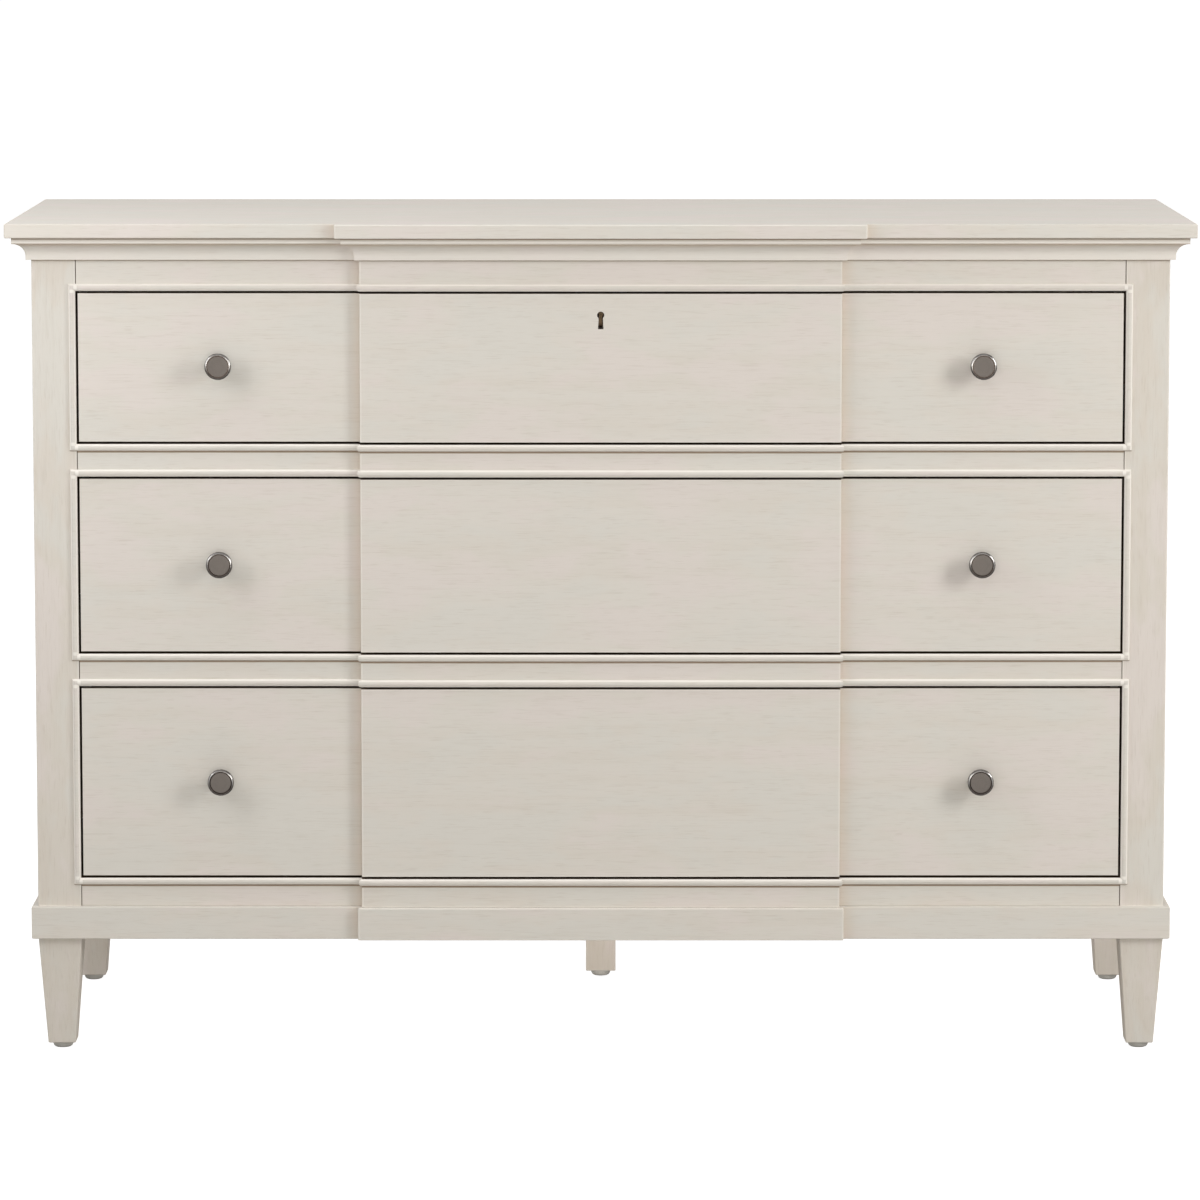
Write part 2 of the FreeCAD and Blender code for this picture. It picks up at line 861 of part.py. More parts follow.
def knob(x, z):
    """A turned knob on the drawer's face: foot, waisted neck and a dished disc with a round rim."""
    radius = knob_diameter / 2
    neck = knob_neck_diameter / 2
    foot = knob_foot_diameter / 2
    head_y = knob_projection - knob_head_height
    rim_in = radius - knob_rim_width
    bore = knob_screw_diameter / 2 + screw_clearance
    turn = knob_rim_radius * (1 - 0.5 ** 0.5)
    dish_y = knob_projection - knob_dish_depth
    rim_y = knob_projection - knob_rim_radius
    bell = neck + (radius - neck) * knob_bell_share
    bell_y = knob_foot_height + (head_y - knob_foot_height) * knob_bell_height_share

    def point(r, out):
        return Vector(r, -out, 0)

    edges = [
        Part.makeLine(point(bore, 0), point(foot, 0)),
        Part.makeLine(point(foot, 0), point(foot, knob_foot_height / 2)),
        Part.Arc(
            point(foot, knob_foot_height / 2),
            point((foot + neck) / 2, knob_foot_height),
            point(neck, knob_foot_height + (foot - neck) / 2),
        ).toShape(),
        Part.Arc(
            point(neck, knob_foot_height + (foot - neck) / 2),
            point(bell, bell_y),
            point(radius - knob_rim_radius, head_y),
        ).toShape(),
        Part.Arc(
            point(radius - knob_rim_radius, head_y),
            point(radius - turn, head_y + turn),
            point(radius, head_y + knob_rim_radius),
        ).toShape(),
        Part.makeLine(point(radius, head_y + knob_rim_radius), point(radius, rim_y)),
        Part.Arc(
            point(radius, rim_y),
            point(radius - turn, knob_projection - turn),
            point(radius - knob_rim_radius, knob_projection),
        ).toShape(),
        Part.makeLine(point(radius - knob_rim_radius, knob_projection), point(rim_in, dish_y)),
        Part.makeLine(point(rim_in, dish_y), point(0, dish_y)),
        Part.makeLine(point(0, dish_y), point(0, knob_bore_depth)),
        Part.makeLine(point(0, knob_bore_depth), point(bore, knob_bore_depth)),
        Part.makeLine(point(bore, knob_bore_depth), point(bore, 0)),
    ]
    solid = Part.Face(Part.Wire(edges)).revolve(Vector(0, 0, 0), Vector(0, 1, 0), 360)
    solid.translate(Vector(x, face_y, z))
    return solid.Solids[0]


def knob_screw(x, z):
    """The machine screw that holds a knob from inside the drawer."""
    head_y = (front_back_y, front_back_y + knob_screw_head_height)
    head = cylinder_y(knob_screw_head_diameter, x, head_y, z)
    shank = cylinder_y(knob_screw_diameter, x, (face_y - knob_screw_engagement, head_y[1]), z)
    return head.fuse(shank).removeSplitter().Solids[0]


def channel(web_x, tip_x, y, z, height):
    """A C-shaped slide member: a web at one place across the chest, and flanges that reach to another."""
    toward = 1 if tip_x > web_x else -1
    low = z - height / 2
    high = z + height / 2
    outer = box((min(web_x, tip_x), max(web_x, tip_x)), y, (low, high))
    inner_x = (web_x + toward * member_gauge, tip_x + toward * overrun)
    inner = box((min(inner_x), max(inner_x)), y, (low + member_gauge, high - member_gauge))
    return outer.cut(inner)


def slide_members(z, top):
    """The case member, carriage and drawer member of a right-hand slide."""
    middle = box_levels(z, top)[0] + slide_rise
    step = member_gauge + member_clearance
    web_x = opening_half - step
    carriage_height = slide_height - 2 * step
    inner_height = carriage_height - 2 * step
    full_y = (slide_y, slide_end_y)
    carriage_y = (slide_y + carriage_setback, slide_end_y - carriage_end_gap)
    case_member = channel(opening_half, opening_half - outer_member_depth, full_y, middle, slide_height)
    carriage = channel(web_x, web_x - carriage_depth, carriage_y, middle, carriage_height)
    drawer_member = channel(box_half, box_half + inner_member_depth, full_y, middle, inner_height)
    return case_member, carriage, drawer_member


def make_drawers():
    case_members = []
    for name, z, top, count in drawers():
        save(name + "_drawer_front", drawer_front(name, z, top, count))
        save(name + "_drawer_sides", *both_sides(box_side(z, top, count)))
        save(name + "_drawer_back", box_back(z, top, count))
        save(name + "_drawer_bottom", drawer_bottom(z, top))
        knobs = [knob(x, knob_z(z, top)) for x in (-knob_x, knob_x)]
        screws = [knob_screw(x, knob_z(z, top)) for x in (-knob_x, knob_x)]
        save(name + "_drawer_knobs", *knobs, *screws)
        case_member, carriage, drawer_member = slide_members(z, top)
        case_members += both_sides(case_member)
        save(name + "_slide_carriages", *both_sides(carriage))
        save(name + "_drawer_slide_members", *both_sides(drawer_member))
        bead_frame(name + "_bead_frame", z, top)
    save("case_slide_members", *case_members)


def main():
    os.makedirs("parts", exist_ok=True)
    make_top()
    make_cove()
    make_rails()
    make_side_panels()
    make_posts()
    make_level_panels()
    make_back()
    make_base()
    make_legs()
    make_glides()
    make_drawers()
    make_lock()


main()
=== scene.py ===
"""Looks of a breakfront chest of drawers, built around its packed construction model."""

import math

import bmesh
import bpy
from bpy.props import FloatProperty, FloatVectorProperty, PointerProperty
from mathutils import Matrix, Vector


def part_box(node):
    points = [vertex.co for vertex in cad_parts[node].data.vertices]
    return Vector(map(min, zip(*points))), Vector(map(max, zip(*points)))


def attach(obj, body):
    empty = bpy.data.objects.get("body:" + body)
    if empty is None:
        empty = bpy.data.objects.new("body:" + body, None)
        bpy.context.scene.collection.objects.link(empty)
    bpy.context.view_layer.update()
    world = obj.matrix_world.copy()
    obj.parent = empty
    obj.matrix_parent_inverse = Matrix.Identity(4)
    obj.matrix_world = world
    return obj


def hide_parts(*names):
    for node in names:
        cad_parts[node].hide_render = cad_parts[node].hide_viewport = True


bl_info = {
    "name": "Breakfront chest of drawers",
    "version": (1, 0, 0),
    "blender": (4, 5, 0),
    "location": "3D View > Sidebar > Chest",
    "description": "Dresses the construction model of a breakfront chest of drawers",
    "category": "Object",
}

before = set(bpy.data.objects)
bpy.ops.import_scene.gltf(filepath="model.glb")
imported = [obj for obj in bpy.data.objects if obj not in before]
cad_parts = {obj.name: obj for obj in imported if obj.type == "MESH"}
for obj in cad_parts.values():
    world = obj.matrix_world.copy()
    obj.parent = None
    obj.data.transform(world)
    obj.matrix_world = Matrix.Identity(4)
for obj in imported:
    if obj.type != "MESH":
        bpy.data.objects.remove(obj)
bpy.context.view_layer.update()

DRAWERS = ("upper", "middle", "lower")
SIDES = (("left", -1), ("right", 1))
LEGS = [f"leg_{end}_{side}" for end in ("front", "rear") for side in ("left", "right")]
NEAR = 0.00002
FRONTWARD = Vector((0, -1, 0))
BACKWARD = Vector((0, 1, 0))
LEFTWARD = Vector((-1, 0, 0))
RIGHTWARD = Vector((1, 0, 0))
UP = Vector((0, 0, 1))


# Places read from the frame

def front_half(node):
    """Half the width of the part of a node that stands furthest forward."""
    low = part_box(node)[0]
    return max(v.co.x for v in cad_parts[node].data.vertices if v.co.y < low.y + NEAR)


def least_half(node):
    """The least distance from the middle of the chest to a node."""
    return min(abs(v.co.x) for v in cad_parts[node].data.vertices)


def middle_of(node):
    """The middle of a node's box."""
    return sum(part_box(node), Vector()) / 2


def head_places(node, apart=0.02):
    """The middles of the flat heads of a node's screws, which are its parts furthest back."""
    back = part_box(node)[1].y
    heads = []
    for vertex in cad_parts[node].data.vertices:
        if vertex.co.y < back - NEAR:
            continue
        for head in heads:
            if (head[0] - vertex.co).length < apart:
                head.append(vertex.co.copy())
                break
        else:
            heads.append([vertex.co.copy()])
    return [Vector(((min(p.x for p in head) + max(p.x for p in head)) / 2, back,
                    (min(p.z for p in head) + max(p.z for p in head)) / 2)) for head in heads]


post_low, post_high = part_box("front_post_right")
opening_half = post_low.x
case_half = post_high.x
face_y = post_low.y
centre_half = front_half("top_rail")
centre_face_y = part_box("top_rail")[0].y
back_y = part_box("back_panel")[1].y
step = face_y - centre_face_y


# Sizes and colours that a user would change

def length(name, text, default):
    """A length in metres with its name and description."""
    return FloatProperty(
        name=name, description=text, default=default, unit="LENGTH", subtype="DISTANCE", precision=5)


def share(name, text, default):
    """A share from nothing to all, with its name and description."""
    return FloatProperty(name=name, description=text, default=default, min=0, max=1, subtype="FACTOR")


def radiance(name, text, default):
    """The radiance of a lamp, with its name and where it stands."""
    return FloatProperty(name=name, description="Radiance of " + text, default=default, min=0)


def colour(name, text, default):
    """A scene colour with its name and description."""
    return FloatVectorProperty(
        name=name, description=text, default=default, size=3, min=0, max=1, subtype="COLOR")


class ChestSizes(bpy.types.PropertyGroup):
    """Sizes of the pieces that are modelled here."""

    top_arris: length("Top arris", "Radius of the rounded edges of the top", 0.0015)
    lip_height: length("Cove lip height", "Height of the square lip at the head of the cove", 0.0071)
    foot_height: length("Cove foot height", "Height of the square foot of the cove", 0.0044)
    foot_projection: length("Cove foot projection", "How far the foot of the cove stands out", 0.0058)
    moulding_arris: length("Moulding arris", "Radius of the rounded edges of the mouldings", 0.0004)
    bead_arris: length("Bead arris", "Easing of the mitred ends of the beads", 0.0003)
    base_arris: length("Base arris", "Radius of the rounded edges of the base", 0.0012)
    leg_arris: length("Leg arris", "Radius of the rounded corners of the legs", 0.0014)
    leg_foot: length("Leg foot", "Width of a leg where it meets its glide", 0.032)
    knob_rim: length("Knob rim", "Width of the polished rim round a knob's face", 0.0025)
    knob_crest: length("Knob crest", "Radius of the rim's inner edge", 0.0005)
    knob_dish: length("Knob dish", "How deep a knob's face lies inside its rim", 0.0006)
    knob_groove: length("Knob groove", "Width and depth of the turned groove round a knob's face", 0.0007)
    knob_head: length("Knob head", "Thickness of a knob's head", 0.0065)
    knob_turn: length("Knob turn", "Radius of the rear edge of a knob's head", 0.0007)
    knob_neck: length("Knob neck", "Diameter of a knob's neck", 0.011)
    knob_foot: length("Knob foot", "Diameter of a knob's foot", 0.017)
    knob_foot_height: length("Knob foot height", "Thickness of a knob's foot", 0.0035)
    screw_head: length("Screw head", "Diameter of a knob screw's head", 0.009)
    screw_shank: length("Screw shank", "Diameter of a knob screw", 0.004)
    screw_grip: length("Screw grip", "How far a knob screw reaches into its knob", 0.012)
    back_screw_head: length("Back screw head", "Diameter of a back screw's head", 0.008)
    back_screw_height: length("Back screw height", "Thickness of a back screw's head", 0.0018)
    back_screw_shank: length("Back screw shank", "Diameter of a back screw", 0.0034)
    back_screw_length: length("Back screw length", "Length of a back screw under its head", 0.022)
    lock_screw_head: length("Lock screw head", "Diameter of a lock screw's head", 0.006)
    lock_screw_height: length("Lock screw height", "Thickness of a lock screw's head", 0.0014)
    lock_screw_shank: length("Lock screw shank", "Diameter of a lock screw", 0.0026)
    lock_screw_length: length("Lock screw length", "Length of a lock screw under its head", 0.006)
    lock_screw_inset: length("Lock screw inset", "From a lock's edges to the middle of a screw", 0.006)
    slide_gauge: length("Slide gauge", "Thickness of the steel of the slides", 0.0014)
    slide_bend: length("Slide bend", "Outer radius of the bends of the slides", 0.0022)
    slide_slot: length("Slide slot", "Length of a slot in a slide", 0.013)
    slide_slot_width: length("Slide slot width", "Width of a slot in a slide", 0.0048)
    slide_screw_head: length("Slide screw head", "Diameter of a slide screw's head", 0.0072)
    slide_screw_height: length("Slide screw height", "Thickness of a slide screw's head", 0.0018)
    slide_screw_shank: length("Slide screw shank", "Diameter of a slide screw", 0.0032)
    slide_screw_length: length("Slide screw length", "Length of a slide screw under its head", 0.009)
    slide_screw_gap: length("Slide screw gap", "Distance between the screws of a slide", 0.155)
    glide_flat: length("Glide flat", "Width of the flat that a glide stands on", 0.015)
    glide_rim: length("Glide rim", "Height of the straight rim of a glide", 0.002)
    glide_arris: length("Glide arris", "Radius of the rounded edges of a glide", 0.0003)
    liner_wall: length("Liner wall", "Wall of the keyhole liner", 0.0007)
    liner_arris: length("Liner arris", "Radius of the rounded edges of the keyhole liner", 0.0002)
    liner_waist: length("Keyhole waist", "Width of the keyhole under its round head", 0.0048)
    liner_foot: length("Keyhole foot", "Width of the keyhole at its foot", 0.0062)
    liner_waist_drop: length("Keyhole waist drop", "From the middle of the head to the waist", 0.0046)


class ChestColours(bpy.types.PropertyGroup):
    """Colours of the finishes, and of the light and shade painted on them."""

    wash: colour("Wash", "Cream wash on the show wood", (0.692, 0.650, 0.588))
    wash_warm: colour("Warm wash", "The wash where more wood shows through", (0.655, 0.594, 0.516))
    wash_rose: colour("Rosy wash", "The wash where it leans to pink", (0.710, 0.646, 0.598))
    wash_cool: colour("Cool wash", "The wash where it leans to green", (0.678, 0.648, 0.590))
    wash_grain: colour("Grain", "Fine grain lines under the wash", (0.420, 0.345, 0.265))
    # Also the highlight painted on arrises and beads, and the light painted on the cove's lip and foot
    rubbed: colour("Rubbed edge", "The wash on a rubbed arris", (0.840, 0.796, 0.732))
    # Shade painted beside the breakfront's steps and in the cove's head under its lip
    glaze: colour("Glaze", "Warm glaze left in the hollows", (0.560, 0.360, 0.200))
    # Shade painted in lines under the top, the cove and the beads, and along the beads' edges
    quirk_shade: colour("Quirk glaze", "Brown glaze in the fine quirks of the mouldings", (0.270, 0.190, 0.120))
    # Shade painted near black on the edges of the drawer fronts; also the dark joint lines of the rails
    unwashed: colour("Unwashed edge", "Stained edges of the drawer fronts", (0.150, 0.105, 0.070))
    # Shade painted near black inside the drawer openings
    gap: colour("Gap shadow", "Brown stain inside the drawer openings", (0.095, 0.058, 0.032))
    drawer_wood: colour("Drawer wood", "Pale hardwood of the drawer boxes", (0.610, 0.445, 0.270))
    drawer_wood_dark: colour("Drawer grain", "Darker grain of the drawer boxes", (0.415, 0.262, 0.138))
    board: colour("Board", "Plain inner and back boards", (0.500, 0.375, 0.240))
    board_dark: colour("Board grain", "Darker grain of the plain boards", (0.350, 0.238, 0.138))
    pewter: colour("Pewter", "Brushed face of the knobs", (0.208, 0.187, 0.169))
    # Also a dark reflection painted on the knobs' rims
    patina_and_dark_reflection: colour("Patina and dark reflection", "Dark patina in the turned grooves of the knobs", (0.032, 0.024, 0.020))
    pewter_rim: colour("Pewter rim", "Polished rim and neck of the knobs", (0.400, 0.385, 0.370))
    zinc: colour("Zinc", "Bright zinc plate", (0.560, 0.570, 0.580))
    lock_plate: colour("Lock plate", "Bronze tint of the plated lock case", (0.150, 0.105, 0.066))
    brass: colour("Aged brass", "Darkened brass of the keyhole liner", (0.022, 0.016, 0.012))
    glide: colour("Glide", "Pale grey plastic of the glides", (0.520, 0.505, 0.470))


class StageSettings(bpy.types.PropertyGroup):
    """Camera and light."""

    camera_distance: length("Camera distance", "From the middle of the chest to the camera", 6.521)
    camera_height: length("Camera height", "Height of the camera above the floor", 1.384)
    camera_pitch: FloatProperty(
        name="Camera pitch", description="How far the camera looks down", default=math.radians(6.172),
        subtype="ANGLE")
    camera_lens: FloatProperty(
        name="Camera lens", description="Focal length in millimetres", default=164.56, min=1)
    camera_shift_x: FloatProperty(
        name="Shift across", description="Sideways shift of the picture", default=-0.0006, precision=5)
    camera_shift_y: FloatProperty(
        name="Shift up", description="Upward shift of the picture", default=-0.12)
    ambient: share("Ambient light", "Strength of the even light from all round", 0.31)
    key: radiance("Right light", "the soft box on the right", 11.8)
    fill: radiance("Left light", "the soft box on the left", 3.85)
    cool_tint: colour("Cool tint", "Tint of the left and upper lights", (0.955, 0.970, 1.0))
    warm_tint: colour("Warm tint", "Tint of the light in front", (1.0, 0.975, 0.930))
    over: radiance("Upper light", "the soft box above", 1.72)
    middle: radiance("Middle light", "the soft box in front and above", 1.0)
    low: radiance("Low light", "the soft box in front", 5.6)
    under: radiance("Under light", "the low lamp under the case", 4.75)
    rear: radiance("Rear light", "the soft boxes behind", 1.4)
    ambient_tint: colour("Ambient tint", "Tint of the even light", (1.0, 0.975, 0.935))
    floor: colour("Floor", "Pale floor", (0.50, 0.50, 0.49))
    floor_lift: share("Floor lift", "How far the floor is lifted to white for the camera", 0.90)


# Modelling by hand, with the angles past which an edge is rounded and past which it shades sharp

ROUNDED_PAST = math.radians(32)
SHARP_PAST = math.radians(40)


def deselect():
    bpy.ops.object.select_all(action="DESELECT")


def use(piece):
    """Makes one piece the only selected and active one."""
    deselect()
    piece.select_set(True)
    bpy.context.view_layer.objects.active = piece
    return piece


def named(piece, name):
    piece.name = name
    piece.data.name = name
    return piece


def settled(piece):
    """The piece with its place in its mesh."""
    use(piece)
    bpy.ops.object.transform_apply(location=True, rotation=True, scale=True)
    return piece


def block(name, low, high):
    """A squared blank between two corners."""
    deselect()
    bpy.ops.mesh.primitive_cube_add(size=1, location=(low + high) / 2)
    blank = named(bpy.context.object, name)
    blank.scale = high - low
    return settled(blank)


def edit(piece):
    use(piece)
    bpy.ops.object.mode_set(mode="EDIT")
    bpy.ops.mesh.select_mode(type="FACE")


def done():
    bpy.ops.object.mode_set(mode="OBJECT")


def pick_all():
    bpy.ops.mesh.select_all(action="SELECT")


def extrude(offset):
    """Extrudes what is selected and moves it by an offset, in edit mode."""
    bpy.ops.mesh.extrude_region_move(TRANSFORM_OT_translate={"value": offset})


def pick_faces(piece, wanted):
    """Selects the faces that pass a test of their middle and normal, in edit mode."""
    bpy.ops.mesh.select_all(action="DESELECT")
    shape = bmesh.from_edit_mesh(piece.data)
    for face in shape.faces:
        face.select_set(bool(wanted(face.calc_center_median(), face.normal)))
    bmesh.update_edit_mesh(piece.data)


def cut(place, normal, drop=None):
    """Cuts all of the piece in edit mode along a plane, and drops the part before or behind it."""
    pick_all()
    bpy.ops.mesh.bisect(
        plane_co=place, plane_no=normal, use_fill=drop is not None, threshold=NEAR / 10,
        clear_outer=drop == "before", clear_inner=drop == "behind")


def line(name, points, closed=False):
    """A line of vertices drawn point by point, filled with a face if it is closed."""
    deselect()
    bpy.ops.mesh.primitive_plane_add(size=NEAR, location=points[0])
    drawn = settled(named(bpy.context.object, name))
    edit(drawn)
    bpy.ops.mesh.select_mode(type="VERT")
    pick_all()
    bpy.ops.mesh.merge(type="CENTER")
    for a, b in zip(points, points[1:]):
        extrude(b - a)
    if closed:
        pick_all()
        bpy.ops.mesh.edge_face_add()
    return drawn


def close_mesh():
    """Merges doubles, turns all faces outwards and leaves edit mode."""
    pick_all()
    bpy.ops.mesh.remove_doubles(threshold=NEAR / 4)
    bpy.ops.mesh.normals_make_consistent(inside=False)
    done()


def arc(centre, radius, first, last, steps):
    """Points on a circle in a plane, between two angles in degrees."""
    angles = [math.radians(first + (last - first) * i / steps) for i in range(steps + 1)]
    return [(centre[0] + radius * math.cos(a), centre[1] + radius * math.sin(a)) for a in angles]


def with_modifier(piece, kind, **settings):
    """Adds a modifier and applies it."""
    use(piece)
    made = piece.modifiers.new(kind.title(), kind)
    for key, value in settings.items():
        setattr(made, key, value)
    bpy.ops.object.modifier_apply(modifier=made.name)


def eased(piece, width, segments=3):
    """The piece with its arrises rounded and its faces shaded smooth between them."""
    with_modifier(
        piece, "BEVEL", width=width, segments=segments, limit_method="ANGLE",
        angle_limit=ROUNDED_PAST, miter_outer="MITER_ARC", use_clamp_overlap=True)
    return smooth(piece)


def smooth(piece):
    """The piece shaded smooth, with its flat faces kept flat."""
    use(piece)
    bpy.ops.object.shade_smooth_by_angle(angle=SHARP_PAST)
    with_modifier(piece, "WEIGHTED_NORMAL", keep_sharp=True, weight=80)
    return piece


def joined(name, pieces):
    """Several meshes as one piece."""
    use(pieces[0])
    for piece in pieces:
        piece.select_set(True)
    if len(pieces) > 1:
        bpy.ops.object.join()
    return named(bpy.context.object, name)


def moved_copy(piece, name, offset, turn=0.0):
    """A copy with its own mesh, turned about Z and then moved by an offset."""
    use(piece)
    bpy.ops.object.duplicate(linked=False)
    twin = named(bpy.context.object, name)
    twin.rotation_euler.z = turn
    twin.location = offset
    return settled(twin)


def discard(piece):
    """Removes a model once its copies are made."""
    bpy.data.objects.remove(piece)


def copies_joined(model, name, places, turn=0.0):
    """Copies of a model at several places as one piece, in place of the model."""
    copies = [moved_copy(model, f"{name}_{i}", place, turn) for i, place in enumerate(places)]
    discard(model)
    return joined(name, copies)


def turned(name, profile, axis, steps):
    """A profile of radius and distance along an axis through the origin, spun round it."""
    side = axis.orthogonal().normalized()
    body = line(name, [side * r + axis * d for r, d in profile])
    pick_all()
    bpy.ops.mesh.spin(steps=steps, angle=math.tau, center=(0, 0, 0), axis=axis)
    close_mesh()
    return body


def moulding_run(name, section, start, end, outward, cuts):
    """A straight length of moulding, with each end cut along a plane through its point.

    The section is a list of points, each an outward and an upward distance.
    """
    way = (end - start).normalized()
    rise = outward.cross(way)
    spread = 2 * max(max(abs(a), abs(b)) for a, b in section)
    corner = start - way * spread
    bar = line(name, [corner + outward * a + rise * b for a, b in section], closed=True)
    pick_all()
    extrude(way * ((end - start).length + 2 * spread))
    cut(start, cuts[0], "behind")
    cut(end, cuts[1], "before")
    close_mesh()
    return bar


def mitred_runs(name, section, path, outward, arris, closed=False):
    """Lengths of moulding along a line, mitred where it turns."""
    ends = path[1:] + path[:1] if closed else path[1:]
    ways = [(b - a).normalized() for a, b in zip(path, ends)]
    runs = []
    for i, (start, end, way) in enumerate(zip(path, ends, ways)):
        before = ways[i - 1] if closed or i > 0 else way
        after = ways[(i + 1) % len(ways)] if closed or i < len(ways) - 1 else way
        run = moulding_run(f"{name}_{i}", section, start, end, outward[i], (before + way, way + after))
        runs.append(eased(run, arris, 2))
    return runs


def stands_for(piece, body, slot, *nodes):
    """The piece rides on a body and stands for CAD nodes, which are hidden. The slot is not used."""
    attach(piece, body)
    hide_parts(*nodes)


# Shader nodes

def add(tree, kind, inputs=None, **settings):
    """A node with its settings, and its inputs set to values or linked to outputs."""
    node = tree.nodes.new(kind)
    for key, value in settings.items():
        setattr(node, key, value)
    for key, value in (inputs or {}).items():
        if isinstance(value, bpy.types.NodeSocket):
            tree.links.new(value, node.inputs[key])
        else:
            node.inputs[key].default_value = value
    return node


def math_node(tree, operation, *values, clamp=False):
    inputs = dict(enumerate(values))
    return add(tree, "ShaderNodeMath", inputs, operation=operation, use_clamp=clamp).outputs[0]


def times(tree, first, second):
    """Two values multiplied."""
    return math_node(tree, "MULTIPLY", first, second)


def parts(tree, vector):
    """The X, Y and Z of a vector."""
    return add(tree, "ShaderNodeSeparateXYZ", {0: vector}).outputs


def vector_math(tree, operation, *values):
    return add(tree, "ShaderNodeVectorMath", dict(enumerate(values)), operation=operation).outputs[0]


def noise(tree, vector, scales, detail=3.0, roughness=0.5):
    """Noise whose scales are waves per metre along each axis."""
    place = vector_math(tree, "MULTIPLY", vector, scales)
    inputs = {"Vector": place, "Scale": 1.0, "Detail": detail, "Roughness": roughness}
    return add(tree, "ShaderNodeTexNoise", inputs, noise_dimensions="3D").outputs["Fac"]


def spread(tree, value, low, high, to_low=0.0, to_high=1.0):
    """A value mapped from one range to another, smoothly and with clamped ends."""
    inputs = {"Value": value, "From Min": low, "From Max": high, "To Min": to_low, "To Max": to_high}
    return add(tree, "ShaderNodeMapRange", inputs, interpolation_type="SMOOTHSTEP").outputs["Result"]


def blend(tree, factor, first, second):
    """Two colours mixed by a factor."""
    mix = add(tree, "ShaderNodeMix", {0: factor}, data_type="RGBA")
    for socket, value in ((mix.inputs[6], first), (mix.inputs[7], second)):
        if isinstance(value, bpy.types.NodeSocket):
            tree.links.new(value, socket)
        else:
            socket.default_value = (*value, 1)
    return mix.outputs[2]


def layered(tree, tone, layers):
    """A colour with others laid over it in turn, each with its mask."""
    for mask, over in layers:
        tone = blend(tree, mask, tone, over)
    return tone


def group(name, inputs, outputs):
    """An empty node group with named inputs and their defaults, and the sockets inside its two ends."""
    tree = bpy.data.node_groups.new(name, "ShaderNodeTree")
    for label, default in inputs.items():
        kind = "NodeSocketVector" if isinstance(default, tuple) else "NodeSocketFloat"
        tree.interface.new_socket(label, in_out="INPUT", socket_type=kind).default_value = default
    for label in outputs:
        tree.interface.new_socket(label, in_out="OUTPUT", socket_type="NodeSocketFloat")
    return tree, tree.nodes.new("NodeGroupInput").outputs, tree.nodes.new("NodeGroupOutput").inputs


def grain_group(name):
    """Straight grain along X: wide figure, fine fibre, short pores and soft clouds."""
    inputs = {"Vector": (0, 0, 0), "Coarseness": 1.0}
    tree, given, made = group(name, inputs, ["Figure", "Fibre", "Pores", "Clouds"])
    scaling = {0: given["Vector"], "Scale": given["Coarseness"]}
    place = add(tree, "ShaderNodeVectorMath", scaling, operation="SCALE").outputs[0]
    sway = noise(tree, place, (1.1, 5, 5), 2.0)
    lean = add(tree, "ShaderNodeCombineXYZ", {1: times(tree, sway, 0.05)}).outputs[0]
    wavy = vector_math(tree, "ADD", place, lean)
    masks = {
        "Figure": noise(tree, wavy, (1.8, 60, 60), 4.0, 0.5),
        "Fibre": noise(tree, wavy, (20, 430, 430), 3.0, 0.6),
        "Pores": spread(tree, noise(tree, wavy, (46, 760, 760), 1.0), 0.58, 0.74),
        "Clouds": noise(tree, place, (7, 16, 16), 4.0, 0.55),
    }
    for label, value in masks.items():
        tree.links.new(value, made[label])
    return tree


def edge_group(name):
    """How close a point on a squared board is to its arrises, broken up a little."""
    inputs = {"Vector": (0, 0, 0), "Low": (0, 0, 0), "High": (1, 1, 1), "Width": 0.002}
    tree, given, made = group(name, inputs, ["Edge"])
    place = given["Vector"]
    from_low = vector_math(tree, "SUBTRACT", place, given["Low"])
    from_high = vector_math(tree, "SUBTRACT", given["High"], place)
    x, y, z = parts(tree, vector_math(tree, "MINIMUM", from_low, from_high))
    lesser = math_node(tree, "MINIMUM", x, y)
    greater = math_node(tree, "MAXIMUM", x, y)
    second = math_node(tree, "MAXIMUM", lesser, math_node(tree, "MINIMUM", greater, z))
    close = spread(tree, math_node(tree, "DIVIDE", second, given["Width"]), 0, 1, 1, 0)
    breaks = spread(tree, noise(tree, place, (30, 30, 30), 3.0), 0.3, 0.6, 0.35, 1)
    tree.links.new(times(tree, close, breaks), made["Edge"])
    return tree


def corner_shade_group(name):
    """Painted shade in the inner corners beside a breakfront, at a distance either side of the middle."""
    inputs = {"Vector": (0, 0, 0), "Corner": 1.0, "Front": 0.0, "Width": 0.008}
    tree, given, made = group(name, inputs, ["Glaze"])
    x, y, z = parts(tree, given["Vector"])
    out = math_node(tree, "SUBTRACT", math_node(tree, "ABSOLUTE", x), given["Corner"])
    outside = math_node(tree, "GREATER_THAN", out, -0.0004)
    ahead = math_node(tree, "LESS_THAN", math_node(tree, "SUBTRACT", y, given["Front"]), 0.0008)
    fade = spread(tree, math_node(tree, "DIVIDE", out, given["Width"]), 0, 1, 1, 0)
    tree.links.new(times(tree, times(tree, outside, ahead), fade), made["Glaze"])
    return tree


GROUPS = {"Straight grain": grain_group, "Rubbed edge": edge_group, "Corner glaze": corner_shade_group}


def use_group(tree, name, inputs):
    """The outputs of a shared group, made at its first use and placed in a tree with its inputs."""
    shared = bpy.data.node_groups.get(name) or GROUPS[name](name)
    return add(tree, "ShaderNodeGroup", inputs, node_tree=shared).outputs


def finish(name):
    """A new material: its tree, its shader and its Object coordinates."""
    material = bpy.data.materials.new(name)
    material.use_nodes = True
    tree = material.node_tree
    return material, tree, tree.nodes["Principled BSDF"], add(tree, "ShaderNodeTexCoord").outputs["Object"]


GRAIN_TURNS = {"X": (0, 0, 0), "Y": (0, 0, math.radians(-90)), "Z": (0, math.radians(90), 0)}


